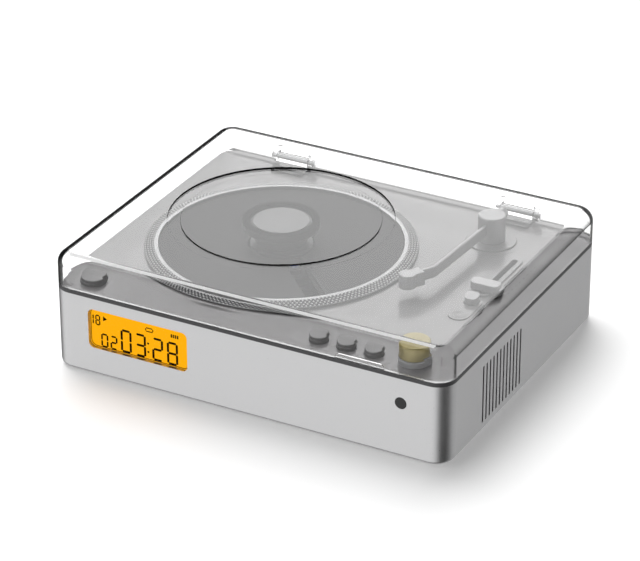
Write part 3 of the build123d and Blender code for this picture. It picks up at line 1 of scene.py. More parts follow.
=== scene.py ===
# %% [markdown]
# # A flat disc player, dressed
#
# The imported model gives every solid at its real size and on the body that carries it.
# This notebook adds what a solid can't say: finishes, printed marks, a clear cover whose
# roundings are smooth enough to bend light well, the lit digits, and a studio around it.
# It works in metres. A value in millimetres is multiplied by MM where it is used.
# Each step has a cell that says what it makes and why it is made that way.

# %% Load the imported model
import bpy
import json
from math import atan2, cos, hypot, pi, radians, sin
from mathutils import Matrix, Vector


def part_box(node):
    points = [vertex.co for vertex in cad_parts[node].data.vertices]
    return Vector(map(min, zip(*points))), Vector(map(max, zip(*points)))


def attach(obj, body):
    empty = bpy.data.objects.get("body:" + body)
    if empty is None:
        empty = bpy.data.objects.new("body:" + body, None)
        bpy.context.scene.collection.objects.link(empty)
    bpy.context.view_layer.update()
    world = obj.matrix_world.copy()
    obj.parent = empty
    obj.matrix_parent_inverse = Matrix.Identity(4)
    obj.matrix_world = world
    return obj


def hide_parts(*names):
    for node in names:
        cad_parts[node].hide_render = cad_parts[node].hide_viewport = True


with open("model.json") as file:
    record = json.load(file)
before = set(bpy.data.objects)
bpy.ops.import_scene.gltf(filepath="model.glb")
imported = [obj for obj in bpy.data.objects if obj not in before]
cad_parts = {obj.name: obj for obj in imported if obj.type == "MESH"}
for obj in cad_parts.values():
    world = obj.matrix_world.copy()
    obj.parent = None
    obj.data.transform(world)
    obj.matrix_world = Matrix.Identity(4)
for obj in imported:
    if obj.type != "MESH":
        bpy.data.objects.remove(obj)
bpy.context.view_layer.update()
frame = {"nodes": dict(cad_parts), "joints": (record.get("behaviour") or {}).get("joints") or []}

MM = 0.001
nodes = frame["nodes"]

# %% [markdown]
# ## Reading sizes from the frame
#
# A mark printed on the deck has to sit on the deck, and a digit has to sit behind its window.
# So places are read from the nodes' boxes and joints, and are typed in only where no node says them.
# Typing all of them in would work too, but the marks would stay behind when a size changes.

# %% Places read from the frame
def low(node):
    """Lowest corner of a node's box."""
    return Vector(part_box(node)[0])


def high(node):
    """Highest corner of a node's box."""
    return Vector(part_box(node)[1])


def middle(node):
    """Centre of a node's box."""
    return (low(node) + high(node)) / 2


joints = {j["name"]: j for j in frame["joints"]}
DISC = Vector(joints["disc_spin"]["pos_m"])
DECK_TOP = high("deck_plate").z
COVER_LOW, COVER_HIGH = low("dust_cover"), high("dust_cover")
print("deck top:", round(DECK_TOP / MM, 2), "cover:", [round(v / MM, 2) for v in COVER_HIGH - COVER_LOW])

# %% [markdown]
# ## Camera
#
# The camera stands a good way off with a long lens, so the upright edges stay nearly upright.
# It looks down at the front right corner. A near camera with a short lens would fill the frame
# as well, but it would spread the corners apart.

# %% Camera
CAMERA_PLACE = (0.6540, -1.2367, 0.7746)
CAMERA_YAW, CAMERA_PITCH, CAMERA_ROLL = radians(28.026), radians(27.9), radians(0.05)
CAMERA_LENS, CAMERA_SENSOR = 175.2, 36.0
camera_data = bpy.data.cameras.new("camera")
camera_data.lens = CAMERA_LENS
camera_data.sensor_width = CAMERA_SENSOR
camera = bpy.data.objects.new("camera", camera_data)
bpy.context.scene.collection.objects.link(camera)
camera.location = CAMERA_PLACE
camera.rotation_euler = (pi / 2 - CAMERA_PITCH, CAMERA_ROLL, CAMERA_YAW)
bpy.context.scene.camera = camera
print("camera at", CAMERA_PLACE)

# %% [markdown]
# ## The studio
#
# The player stands on a white floor that fades into a white background, with soft shadows round
# it and a large soft light behind it on the left. That light lays a pale veil over the clear
# cover. Area lamps and cards could make it, but each card would have to be hidden from the camera.
# So the world is painted by direction: each lobe below is one panel, and reflections find a
# bright front, a dark right side and a softbox behind.

# %% World helpers
world = bpy.data.worlds.new("studio")
world.use_nodes = True
bpy.context.scene.world = world
bpy.context.scene.view_settings.view_transform = "Standard"
tree = world.node_tree
tree.nodes.clear()


def node(tree, kind, **values):
    """Add a node and set its properties."""
    made = tree.nodes.new(kind)
    for key, value in values.items():
        setattr(made, key, value)
    return made


def maths(tree, operation, first, second=None, number=0.5):
    """Math node between a socket and another socket or a number. One half tells 0 from 1."""
    made = node(tree, "ShaderNodeMath", operation=operation)
    tree.links.new(first, made.inputs[0])
    if second is None:
        made.inputs[1].default_value = number
    else:
        tree.links.new(second, made.inputs[1])
    return made.outputs["Value"]


def lobe(tree, direction, start, end, strength):
    """Brightness that rises from nothing to strength as a direction turns towards the lobe."""
    coords = node(tree, "ShaderNodeTexCoord")
    dot = node(tree, "ShaderNodeVectorMath", operation="DOT_PRODUCT")
    dot.inputs[1].default_value = Vector(direction).normalized()
    ramp = node(tree, "ShaderNodeMapRange", interpolation_type="SMOOTHSTEP")
    ramp.inputs["From Min"].default_value = start
    ramp.inputs["From Max"].default_value = end
    ramp.inputs["To Min"].default_value = 0.0
    ramp.inputs["To Max"].default_value = strength
    tree.links.new(coords.outputs["Generated"], dot.inputs[0])
    tree.links.new(dot.outputs["Value"], ramp.inputs["Value"])
    return ramp.outputs["Result"]


print("world helpers ready")

# %% World panels
UP = (0, 0, 1)
SOFTBOX = (-0.35, 0.70, 0.62)
OVERHEAD = (-0.41, 0.0, 0.91)
FRONT = (-0.50, -0.80, -0.33)
BEHIND = (0.30, 0.90, -0.40)
# Direction, where its lobe starts and ends as cosines, and its brightness.
# The first lobe ends below -1, so it lights every direction evenly.
PANELS = [(UP, -3.0, -2.0, 0.05),
          (SOFTBOX, 0.92, 0.99, 2.60),
          (OVERHEAD, 0.90, 0.97, 1.60),
          (FRONT, 0.25, 0.85, 1.00),
          (BEHIND, 0.35, 0.90, 0.50)]
total = None
for panel in PANELS:
    light = lobe(tree, *panel)
    total = light if total is None else maths(tree, "ADD", total, light)
painted = node(tree, "ShaderNodeBackground")
tree.links.new(total, painted.inputs["Color"])
plain = node(tree, "ShaderNodeBackground")
plain.inputs["Color"].default_value = (1.0, 1.0, 1.0, 1.0)
print("world panels:", len(PANELS))

# %% [markdown]
# ## What a ray through the cover sees
#
# Clear plastic should show the same white background as the air beside it. A ray counts one
# transmission at each face that it passes, so one sheet is two. Straight rays near the horizon
# are given the white backdrop. Rays that have passed a single sheet, most of them mirrored
# inside it, get only a small share of the panels, or the cover's inner face would double the veil.

# %% World for rays through the cover
BACKDROP_RISE = radians(12)
SHEET_SHARE = 0.12
ONE_SHEET = 2.5   # transmissions, between one sheet's two and two sheets' four
rays = node(tree, "ShaderNodeLightPath")
through = maths(tree, "MULTIPLY", rays.outputs["Is Transmission Ray"],
                maths(tree, "LESS_THAN", rays.outputs["Diffuse Depth"]))
straight = maths(tree, "MULTIPLY", through, maths(tree, "LESS_THAN", rays.outputs["Glossy Depth"]))
one_sheet = maths(tree, "LESS_THAN", rays.outputs["Transmission Depth"], number=ONE_SHEET)
dim = node(tree, "ShaderNodeMapRange")
dim.inputs["To Min"].default_value = 1.0
dim.inputs["To Max"].default_value = SHEET_SHARE
tree.links.new(maths(tree, "MULTIPLY", through, one_sheet), dim.inputs["Value"])
tree.links.new(dim.outputs["Result"], painted.inputs["Strength"])
coords = node(tree, "ShaderNodeTexCoord")
split = node(tree, "ShaderNodeSeparateXYZ")
tree.links.new(coords.outputs["Generated"], split.inputs["Vector"])
rise = maths(tree, "ABSOLUTE", split.outputs["Z"])
backdrop = maths(tree, "MULTIPLY", straight, maths(tree, "LESS_THAN", rise, number=sin(BACKDROP_RISE)))
choose_world = node(tree, "ShaderNodeMixShader")
output = node(tree, "ShaderNodeOutputWorld")
tree.links.new(maths(tree, "MAXIMUM", rays.outputs["Is Camera Ray"], backdrop), choose_world.inputs["Fac"])
tree.links.new(painted.outputs["Background"], choose_world.inputs[1])
tree.links.new(plain.outputs["Background"], choose_world.inputs[2])
tree.links.new(choose_world.outputs["Shader"], output.inputs["Surface"])
print("world nodes:", len(tree.nodes))

# %% [markdown]
# ## Modelling helpers
#
# Every new piece starts as a primitive at its size and place. Faces and edges are picked by
# where they are, then shaped in edit mode, and modifiers finish the shape. Meshes could also be
# written vertex by vertex, but these steps are the ones that a modeller does by hand.

# %% Primitives
NEAR = 1e-6   # metres within which two places count as the same


def fresh():
    """Back to object mode with nothing selected."""
    if bpy.context.mode != "OBJECT":
        bpy.ops.object.mode_set(mode="OBJECT")
    bpy.ops.object.select_all(action="DESELECT")


def settled(name):
    """Name the newest piece and write its place, turn and scale into its mesh."""
    piece = bpy.context.object
    piece.name = piece.data.name = name
    bpy.ops.object.transform_apply(location=True, rotation=True, scale=True)
    return piece


def box_piece(name, lowest, highest):
    """Block between two corners."""
    fresh()
    lowest, highest = Vector(lowest), Vector(highest)
    bpy.ops.mesh.primitive_cube_add(size=1, location=(lowest + highest) / 2, scale=highest - lowest)
    return settled(name)


def rod_piece(name, radius, start, end, sides):
    """Cylinder between two points."""
    fresh()
    start, end = Vector(start), Vector(end)
    turn = (end - start).to_track_quat("Z", "Y").to_euler()
    bpy.ops.mesh.primitive_cone_add(vertices=sides, radius1=radius, radius2=radius,
                                    depth=(end - start).length, location=(start + end) / 2, rotation=turn)
    return settled(name)


print("a block and a rod to start from")

# %% Picking and rounding
def hold(piece):
    """Make one piece the active and only selected one."""
    fresh()
    bpy.context.view_layer.objects.active = piece
    piece.select_set(True)


def pick(piece, kind, wanted):
    """Enter edit mode with exactly the wanted vertices, edges or faces selected, and count them."""
    hold(piece)
    bpy.ops.object.mode_set(mode="EDIT")
    bpy.ops.mesh.select_mode(type=kind)
    bpy.ops.mesh.select_all(action="DESELECT")
    bpy.ops.object.mode_set(mode="OBJECT")
    mesh = piece.data
    groups = {"VERT": mesh.vertices, "EDGE": mesh.edges, "FACE": mesh.polygons}
    count = 0
    for item in groups[kind]:
        corners = [item.co] if kind == "VERT" else [mesh.vertices[i].co for i in item.vertices]
        if wanted(corners):
            item.select = True
            count += 1
    bpy.ops.object.mode_set(mode="EDIT")
    return count


def bevel(piece, wanted, width, segments):
    """Round the wanted edges."""
    count = pick(piece, "EDGE", wanted)
    bpy.ops.mesh.bevel(offset=width, segments=segments, profile=0.5, affect="EDGES")
    fresh()
    return count


print("edges are picked by their place")

# %% Modifiers
def modified(piece, kind, **settings):
    """Add one modifier and apply it."""
    hold(piece)
    made = piece.modifiers.new(kind.lower(), kind)
    for key, value in settings.items():
        setattr(made, key, value)
    bpy.ops.object.modifier_apply(modifier=made.name)


def cut(piece, tool, operation="DIFFERENCE"):
    """Boolean with a tool piece, which is then removed."""
    modified(piece, "BOOLEAN", object=tool, operation=operation, solver="EXACT")
    bpy.data.objects.remove(tool)


def smooth(piece, angle):
    """Shade smooth, but keep edges sharper than the angle in degrees."""
    hold(piece)
    bpy.ops.object.shade_smooth_by_angle(angle=radians(angle))


print("modifiers are applied at once")

# %% [markdown]
# ## Painted and moulded finishes
#
# Paint, moulded plastic and turned metal are never quite even: colour, gloss and surface vary a
# little over a fraction of a millimetre. Pictures could carry that, but each piece would have to
# be laid out flat for them. So a finish is a Principled shader whose colour, roughness and relief
# follow one fine noise in the object's own coordinates, with its grain in millimetres.

# %% Finish
COAT_ROUGH, ROUGH_LEAST = 0.12, 0.02
RELIEF = 0.2 * MM


def blank(name):
    """New material with its node tree and its Principled shader."""
    made = bpy.data.materials.new(name)
    made.use_nodes = True
    return made, made.node_tree, made.node_tree.nodes["Principled BSDF"]


def finish(name, colour, metallic=0.0, rough=0.4, grain=0.6, bump=0.1, spread=0.06, coat=0.0, gloss=0.5,
           uneven=0.06):
    """Material with a fine grain in its colour, roughness and surface."""
    made, tree, shader = blank(name)
    shader.inputs["Metallic"].default_value = metallic
    shader.inputs["Specular IOR Level"].default_value = gloss
    shader.inputs["Coat Weight"].default_value = coat
    shader.inputs["Coat Roughness"].default_value = COAT_ROUGH
    coords = node(tree, "ShaderNodeTexCoord")
    noise = node(tree, "ShaderNodeTexNoise")
    noise.inputs["Scale"].default_value = 1 / (grain * MM)
    noise.inputs["Detail"].default_value = 3.0
    tree.links.new(coords.outputs["Object"], noise.inputs["Vector"])
    blend = node(tree, "ShaderNodeMix", data_type="RGBA")
    blend.inputs["A"].default_value = (*[c * (1 - spread) for c in colour], 1)
    blend.inputs["B"].default_value = (*[c * (1 + spread) for c in colour], 1)
    tree.links.new(noise.outputs["Fac"], blend.inputs["Factor"])
    tree.links.new(blend.outputs["Result"], shader.inputs["Base Color"])
    vary = node(tree, "ShaderNodeMapRange")
    vary.inputs["To Min"].default_value = max(rough - uneven, ROUGH_LEAST)
    vary.inputs["To Max"].default_value = rough + uneven
    tree.links.new(noise.outputs["Fac"], vary.inputs["Value"])
    tree.links.new(vary.outputs["Result"], shader.inputs["Roughness"])
    relief = node(tree, "ShaderNodeBump")
    relief.inputs["Strength"].default_value = bump
    relief.inputs["Distance"].default_value = RELIEF
    tree.links.new(noise.outputs["Fac"], relief.inputs["Height"])
    tree.links.new(relief.outputs["Normal"], shader.inputs["Normal"])
    return made


print("relief of a finish in mm:", round(RELIEF / MM, 2))

# %% [markdown]
# ## Clear plastics
#
# The cover, the display's window and the hinge brackets are clear mouldings with a real wall, so
# their shader bends light. Their shadows would come out black that way, as no lamp is found
# through a bend, so a shadow ray meets a plain see-through surface that takes only a little light.
# Along a rounding the eye looks through much more plastic than across a wall, and a dark line
# shows there. Deep inner mirroring could give that, but it is noisy, so the tint darkens edge-on as painted
# shade.

# %% Clear plastic
CLEAR = (0.985, 0.985, 0.985)
# colour of the painted shade where a rounding is seen edge-on
EDGE_ON_SHADE = (0.01, 0.01, 0.01)


def clear(name, tint, rough=0.0, shade=0.93, index=1.49, share=1.0):
    """Clear plastic that lets lamp light through to what is under it. A lower share makes it milky."""
    made, tree, shader = blank(name)
    shader.inputs["Base Color"].default_value = (*tint, 1)
    shader.inputs["Roughness"].default_value = rough
    shader.inputs["Transmission Weight"].default_value = share
    shader.inputs["IOR"].default_value = index
    see_through = node(tree, "ShaderNodeBsdfTransparent")
    see_through.inputs["Color"].default_value = (shade, shade, shade, 1)
    rays = node(tree, "ShaderNodeLightPath")
    mix = node(tree, "ShaderNodeMixShader")
    tree.links.new(rays.outputs["Is Shadow Ray"], mix.inputs["Fac"])
    tree.links.new(shader.outputs["BSDF"], mix.inputs[1])
    tree.links.new(see_through.outputs["BSDF"], mix.inputs[2])
    tree.links.new(mix.outputs["Shader"], tree.nodes["Material Output"].inputs["Surface"])
    return made


def dark_at_edge(made, start, end):
    """Darken a clear plastic's tint where it is seen edge-on, as painted shade, between two glancing values.
    """
    tree = made.node_tree
    tint = tree.nodes["Principled BSDF"].inputs["Base Color"]
    glance = node(tree, "ShaderNodeLayerWeight")
    glance.inputs["Blend"].default_value = 0.5
    ramp = node(tree, "ShaderNodeMapRange", interpolation_type="SMOOTHSTEP")
    ramp.inputs["From Min"].default_value = start
    ramp.inputs["From Max"].default_value = end
    shade = node(tree, "ShaderNodeMix", data_type="RGBA")
    shade.inputs["A"].default_value = tint.default_value[:]
    shade.inputs["B"].default_value = (*EDGE_ON_SHADE, 1)
    tree.links.new(glance.outputs["Facing"], ramp.inputs["Value"])
    tree.links.new(ramp.outputs["Result"], shade.inputs["Factor"])
    tree.links.new(shade.outputs["Result"], tint)
    return made


print("clear plastic lets through:", CLEAR[0])

# %% [markdown]
# ## The amber light
#
# The display is an amber backlight with dark figures in front. A lamp behind it would do, but an
# emitting surface is as even as the real one. Its colour is written as a screen shows it, so it
# is turned into linear light first.

# %% Lit surface
def linear(value):
    """Linear light from an 8-bit screen value."""
    value /= 255
    return value / 12.92 if value <= 0.04045 else ((value + 0.055) / 1.055) ** 2.4


AMBER = (linear(255), linear(177), linear(18))
UNLIT = 0.05   # share of the colour that the surface has with its light off


def lit(name, colour, strength):
    """Backlit surface."""
    made = finish(name, [UNLIT * c for c in colour], rough=0.5, bump=0.0, spread=0.01, gloss=0.0)
    shader = made.node_tree.nodes["Principled BSDF"]
    shader.inputs["Emission Color"].default_value = (*colour, 1)
    shader.inputs["Emission Strength"].default_value = strength
    return made


print("amber:", [round(c, 3) for c in AMBER])

# %% [markdown]
# ## The finishes
#
# The case is painted silver and the deck grey. The trims are dark mouldings, the ring is turned
# metal, the knob is gold, and clear mouldings lie over it all. The finishes are kept in one table,
# because several pieces share one, and a colour is then changed in one place.

# %% Finishes
finishes = {
    "silver": finish("silver_paint", (0.62, 0.62, 0.625), metallic=0.85, rough=0.30, grain=0.5, bump=0.25),
    "deck": finish("deck_paint", (0.205, 0.201, 0.203), metallic=0.15, rough=0.22, grain=0.35, bump=0.0,
                   spread=0.02, uneven=0.01),
    "under": finish("under_plastic", (0.16, 0.16, 0.165), rough=0.6, grain=0.5, bump=0.4),
    "foot": finish("foot_rubber", (0.03, 0.03, 0.03), rough=0.75, grain=0.3, bump=0.4),
    "steel": finish("steel", (0.62, 0.62, 0.63), metallic=1.0, rough=0.3, grain=0.2, bump=0.05),
    "trim": finish("trim_plastic", (0.055, 0.055, 0.058), rough=0.38, grain=0.3, bump=0.15),
    "ring": finish("ring_metal", (0.34, 0.34, 0.343), metallic=0.85, rough=0.28, grain=0.3, bump=0.02,
                   uneven=0.02),
    "mat": finish("mat_rubber", (0.035, 0.034, 0.035), rough=0.60, grain=0.25, bump=0.02, spread=0.02,
                  uneven=0.02),
    "hub": finish("hub_plastic", (0.05, 0.05, 0.052), rough=0.35, grain=0.3, bump=0.05),
    "inner": finish("inner_plastic", (0.045, 0.045, 0.046), rough=0.55, grain=0.4, bump=0.2),
    "eye": finish("eye_plastic", (0.006, 0.006, 0.007), rough=0.18, grain=0.4, bump=0.0),
    "drive": finish("drive_plastic", (0.05, 0.05, 0.055), rough=0.5, grain=0.4, bump=0.2),
    "nylon": finish("gear_nylon", (0.75, 0.74, 0.70), rough=0.4, grain=0.3, bump=0.1),
    "board": finish("board_green", (0.02, 0.11, 0.05), rough=0.35, grain=0.8, bump=0.1, coat=0.3),
    "wrap": finish("cell_wrap", (0.02, 0.10, 0.30), rough=0.4, grain=0.8, bump=0.1),
    "cone": finish("speaker_paper", (0.03, 0.03, 0.032), rough=0.8, grain=0.3, bump=0.6),
    "clamp": finish("clamp_plastic", (0.075, 0.075, 0.075), rough=0.4, grain=0.4, bump=0.05),
    "label": finish("clamp_label", (0.26, 0.26, 0.262), rough=0.45, grain=0.4, bump=0.05, spread=0.02),
    "button": finish("button_metal", (0.17, 0.168, 0.169), metallic=0.4, rough=0.28, grain=0.25, bump=0.08),
    "gold": finish("knob_gold", (0.36, 0.30, 0.11), metallic=0.2, rough=0.34, grain=0.25, bump=0.08),
    "collar": finish("knob_collar", (0.5, 0.5, 0.505), metallic=0.3, rough=0.2, grain=0.3, bump=0.04),
    "satin": finish("satin_silver", (0.36, 0.36, 0.362), metallic=0.45, rough=0.3, grain=0.3, bump=0.06),
    "lens": finish("lens_coating", (0.10, 0.12, 0.30), metallic=0.2, rough=0.06, bump=0.0, coat=1.0),
    "panel": lit("display_amber", AMBER, 0.98),
    "print": finish("dark_print", (0.012, 0.012, 0.012), rough=0.5, bump=0.0),
    "digit": finish("display_digit", (0.014, 0.008, 0.003), rough=0.6, bump=0.0, gloss=0.0),
    "edge": finish("display_edge", (0.20, 0.085, 0.01), rough=0.6, bump=0.0, gloss=0.0),
    "cover": clear("clear_cover", CLEAR),
    "rim": clear("ground_rim", (0.80, 0.80, 0.80), rough=0.45),
    # painted shade: the outer roundings darken where they are seen edge-on
    "rounding": dark_at_edge(clear("cover_rounding_shade", CLEAR), 0.38, 0.62),
    # painted highlight: a milky band on the front rounding in place of the softbox's reflection
    "strip": clear("painted_highlight_strip", (0.98, 0.98, 0.98), rough=0.5, share=0.3),
    # light dots: partly their own colour, partly a painted highlight for the light that the dots catch
    "dot": finish("ring_dot_and_highlight", (0.88, 0.88, 0.885), metallic=0.3, rough=0.25, grain=0.3, bump=0.0),
    "cloth": finish("vent_cloth", (0.012, 0.012, 0.013), rough=0.9, grain=0.3, bump=0.5, gloss=0.1),
    "window": clear("display_window", (1.0, 1.0, 1.0), shade=0.95, index=1.05),
    "bracket": clear("clear_bracket", (0.97, 0.97, 0.97), rough=0.05, shade=0.9),
}
print("finishes:", len(finishes))

# %% [markdown]
# ## Dressing the solids
#
# Each solid wears one finish, as each part of the real player is moulded, pressed or turned from
# one material. The finish sits on the object and not on its mesh, so the solid stays as it is.

# %% Dressed solids
worn_by = {
    "silver": "case_shell",
    "deck": "deck_plate fader_track rocker_plate arm_base",
    "under": "bottom_cover",
    "foot": "feet drive_dampers",
    "steel": "case_screws drive_screws catch_balls spindle_shaft guide_rods sled_motor spindle_motor "
             "volume_shaft arm_clip usb_socket hinge_pins",
    "trim": "trim_ring",
    "ring": "platter_ring",
    "mat": "disc_mat",
    "hub": "spindle_hub",
    "inner": "display_holder fader_body rocker_switch volume_encoder aux_socket power_inlet",
    "eye": "ir_window",
    "drive": "drive_chassis pickup_sled",
    "nylon": "sled_gear motor_pinion",
    "board": "control_boards main_board",
    "wrap": "battery_pack",
    "cone": "speaker_cones",
    "clamp": "clamp_holder clamp_puck",
    "label": "clamp_label",
    "button": "button_previous button_play button_next button_power",
    "gold": "volume_knob",
    "collar": "knob_ring",
    "satin": "fader_knob rocker_key arm_pillar arm_bar arm_head arm_weight speaker_drivers",
    "lens": "objective_lens",
    "panel": "display_panel",
    "cover": "dust_cover",
    "window": "display_window",
    "bracket": "hinge_brackets",
}


def wear(piece, place, kind):
    """Put a finish in one of the piece's slots."""
    piece.material_slots[place].link = "OBJECT"
    piece.material_slots[place].material = finishes[kind]


def dress(piece, kind):
    """Give a piece one finish."""
    if not piece.data.materials:
        piece.data.materials.append(None)
    for place in range(len(piece.material_slots)):
        wear(piece, place, kind)


dressed = [name for names in worn_by.values() for name in names.split()]
for kind, names in worn_by.items():
    for name in names.split():
        dress(nodes[name], kind)
print("dressed:", len(dressed), "undressed:", sorted(set(nodes) - set(dressed)))

# %% [markdown]
# ## The clear dust cover
#
# The cover is a clear moulded lid. It is the piece the eye meets first, and light bends at every
# rounding of it, so it is modelled again with finer roundings than the solid's facets, in the
# solid's own box. A rounded box is hollowed by a smaller one, which keeps the wall even in the
# corners too. A Solidify modifier on an open shell would also do, but its rim is harder to keep flat.

# %% Cover shell
EDGE_R, CORNER_R, WALL = 6.7 * MM, 10.0 * MM, 2.2 * MM
CORNER_STEPS, EDGE_STEPS = 24, 16
HOLLOW_BELOW = 5 * MM   # how far the hollow reaches out under the rim
PAST = 1 * MM           # how far a smaller tool reaches past the face it opens


def upright(corners):
    """Test for edges that run along Z."""
    return abs(corners[0].x - corners[1].x) < NEAR and abs(corners[0].y - corners[1].y) < NEAR


def rounded_box(name, lowest, highest, corner, edge):
    """Box with round upright corners and a rounding along its top."""
    piece = box_piece(name, lowest, highest)
    bevel(piece, upright, corner, CORNER_STEPS)
    bevel(piece, lambda c: all(v.z > highest[2] - NEAR for v in c), edge, EDGE_STEPS)
    return piece


inset = Vector((WALL, WALL, 0))
cover = rounded_box("dust_cover_clear", COVER_LOW, COVER_HIGH, CORNER_R, EDGE_R)
hollow = rounded_box("hollow", COVER_LOW + inset - Vector((0, 0, HOLLOW_BELOW)),
                     COVER_HIGH - inset - Vector((0, 0, WALL)), CORNER_R - WALL, EDGE_R - WALL)
cut(cover, hollow)
print("shell faces:", len(cover.data.polygons))

# %% [markdown]
# ## The groove in the cover
#
# A shallow round groove is sunk in the top, round a middle that lies a little lower than the
# rest. One tool cuts both: a flat disc with a lower island in it. The groove's rims are slightly
# rounded afterwards, because a sharp moulded rim would throw no line of light.

# %% Groove
GROOVE_OUT, GROOVE_IN = 57.9 * MM, 51.3 * MM
GROOVE_DEEP, MIDDLE_DEEP = 1.1 * MM, 0.5 * MM
GROOVE_OVER, GROOVE_SIDES = 0.2 * MM, 240
GROOVE_RIM, GROOVE_RIM_STEPS = 0.2 * MM, 3
RADIUS_PLAY, HEIGHT_PLAY = 0.15 * MM, 0.02 * MM
top = COVER_HIGH.z


def over_disc(height):
    """Point on the disc's axis."""
    return (DISC.x, DISC.y, height)


def on_circle(radius, height):
    """Test for edges that lie on a level circle round the disc's axis."""
    def on_it(corners):
        return all(abs(hypot(c.x - DISC.x, c.y - DISC.y) - radius) < RADIUS_PLAY
                   and abs(c.z - height) < HEIGHT_PLAY for c in corners)
    return on_it


groove = rod_piece("groove", GROOVE_OUT, over_disc(top - GROOVE_DEEP), over_disc(top + GROOVE_OVER),
                   GROOVE_SIDES)
island = rod_piece("island", GROOVE_IN, over_disc(top - 2 * GROOVE_DEEP), over_disc(top - MIDDLE_DEEP),
                   GROOVE_SIDES)
cut(groove, island)
cut(cover, groove)
for rim_at in (on_circle(GROOVE_OUT, top), on_circle(GROOVE_IN, top - MIDDLE_DEEP)):
    print("groove rim edges:", bevel(cover, rim_at, GROOVE_RIM, GROOVE_RIM_STEPS))

# %% [markdown]
# ## Hinge openings
#
# The two hinge brackets stand on the deck and reach into openings in the cover's back wall, each
# with a raised frame inside that stiffens it. The wall under the hinge line is rounded off, so
# that it clears the deck's back edge as the cover swings up, and two ears beside each opening
# carry the hinge pin in a bore. Each is a pad or a rod that is joined to the cover or cut from it.

# %% Hinge openings
HINGE = Vector(joints["cover_lift"]["pos_m"])
HINGE_X = 66.0 * MM
FRAME_W, FRAME_H, FRAME_R = 24 * MM, 9.9 * MM, 3.5 * MM
FRAME_IN, FRAME_SUNK = 1.4 * MM, 0.3 * MM   # from the wall's inner face, inwards and into the wall
OPENING_W, OPENING_H, OPENING_R = 19.4 * MM, 7.6 * MM, 2.0 * MM
OPENING_IN = 8.4 * MM
PAD_STEPS = 10
back = COVER_HIGH.y


def wall_pad(name, x, width, low_z, high_z, y0, y1, radius):
    """Upright pad with round top corners."""
    pad = box_piece(name, (x - width / 2, y0, low_z), (x + width / 2, y1, high_z))
    bevel(pad, lambda c: all(v.z > high_z - NEAR for v in c) and abs(c[0].x - c[1].x) < NEAR,
          radius, PAD_STEPS)
    return pad


for side in (-1, 1):
    x = side * HINGE_X
    frame_pad = wall_pad("frame", x, FRAME_W, COVER_LOW.z, COVER_LOW.z + FRAME_H,
                         back - WALL - FRAME_IN, back - WALL + FRAME_SUNK, FRAME_R)
    cut(cover, frame_pad, "UNION")
    opening = wall_pad("opening", x, OPENING_W, COVER_LOW.z - PAST, COVER_LOW.z + OPENING_H,
                       back - OPENING_IN, back + PAST, OPENING_R)
    cut(cover, opening)
print("cover faces with the openings:", len(cover.data.polygons))

# %% Turning room and ears
ROOM_SIDE, ROOM_BACK, ROUND_SIDE = 0.2, 0.02, 0.3   # metres, well past the cover's ends
ROUND_SIDES = 128
EAR_R, EAR_FROM, EAR_TO, EAR_SIDES = 2.2 * MM, 9.7 * MM, 12 * MM, 48
BORE_R, BORE_REACH, BORE_SIDES = 1.05 * MM, 13 * MM, 32


def on_hinge(x):
    """Point on the hinge's axis."""
    return (x, HINGE.y, HINGE.z)


turning = box_piece("turning_room", (-ROOM_SIDE, HINGE.y, COVER_LOW.z - PAST),
                    (ROOM_SIDE, back + ROOM_BACK, HINGE.z))
round_back = rod_piece("round_back", back - HINGE.y, on_hinge(-ROUND_SIDE), on_hinge(ROUND_SIDE), ROUND_SIDES)
cut(turning, round_back)
cut(cover, turning)
for side in (-1, 1):
    x = side * HINGE_X
    for end in (-1, 1):
        ear = rod_piece("ear", EAR_R, on_hinge(x + end * EAR_FROM), on_hinge(x + end * EAR_TO), EAR_SIDES)
        cut(cover, ear, "UNION")
    bore = rod_piece("bore", BORE_R, on_hinge(x - BORE_REACH), on_hinge(x + BORE_REACH), BORE_SIDES)
    cut(cover, bore)
print("cover faces with the ears:", len(cover.data.polygons))

# %% [markdown]
# ## Finger scoop
#
# A finger lifts the cover at a shallow scoop in its front rim. The same round-topped pad that
# opened the back wall cuts it, and then the cover's shape is done and can be shaded. The shading
# keeps the rims crisp and evens out the long thin faces that the cuts leave.

# %% Finger scoop and shading
SCOOP_X, SCOOP_W, SCOOP_H = 63.2 * MM, 26.4 * MM, 2.8 * MM
SCOOP_DEEP, SCOOP_R = 0.8 * MM, 2.0 * MM
scoop = wall_pad("scoop", SCOOP_X, SCOOP_W, COVER_LOW.z - PAST, COVER_LOW.z + SCOOP_H,
                 COVER_LOW.y - PAST, COVER_LOW.y + SCOOP_DEEP, SCOOP_R)
cut(cover, scoop)
smooth(cover, 35.0)
modified(cover, "WEIGHTED_NORMAL", weight=100, keep_sharp=True)
print("cover triangles:", sum(len(f.vertices) - 2 for f in cover.data.polygons))

# %% [markdown]
# ## The cover's four surfaces, two with painted light
#
# One moulding shows four surfaces: polished clear walls, a lower rim that is ground matt, outer
# roundings whose tint darkens edge-on as painted shade, and a painted highlight along the front
# rounding: a milky band in place of the softbox's reflection there. Separate meshes would show seams,
# so they are slots on the faces of one mesh.

# %% Cover finishes
FLAT = 0.997   # a face that points this much along one axis belongs to a flat side
GROOVE_CLEAR = 1 * MM
# where the painted highlight lies on the front rounding, as angles and reaches
HIGHLIGHT_FROM, HIGHLIGHT_TO = radians(64), radians(80)
HIGHLIGHT_PAST, HIGHLIGHT_PLAY = 1 * MM, 0.1 * MM
cover_centre = (COVER_LOW + COVER_HIGH) / 2


def on_rim(corners):
    """Faces of the lower rim."""
    return all(abs(v.z - COVER_LOW.z) < NEAR for v in corners)


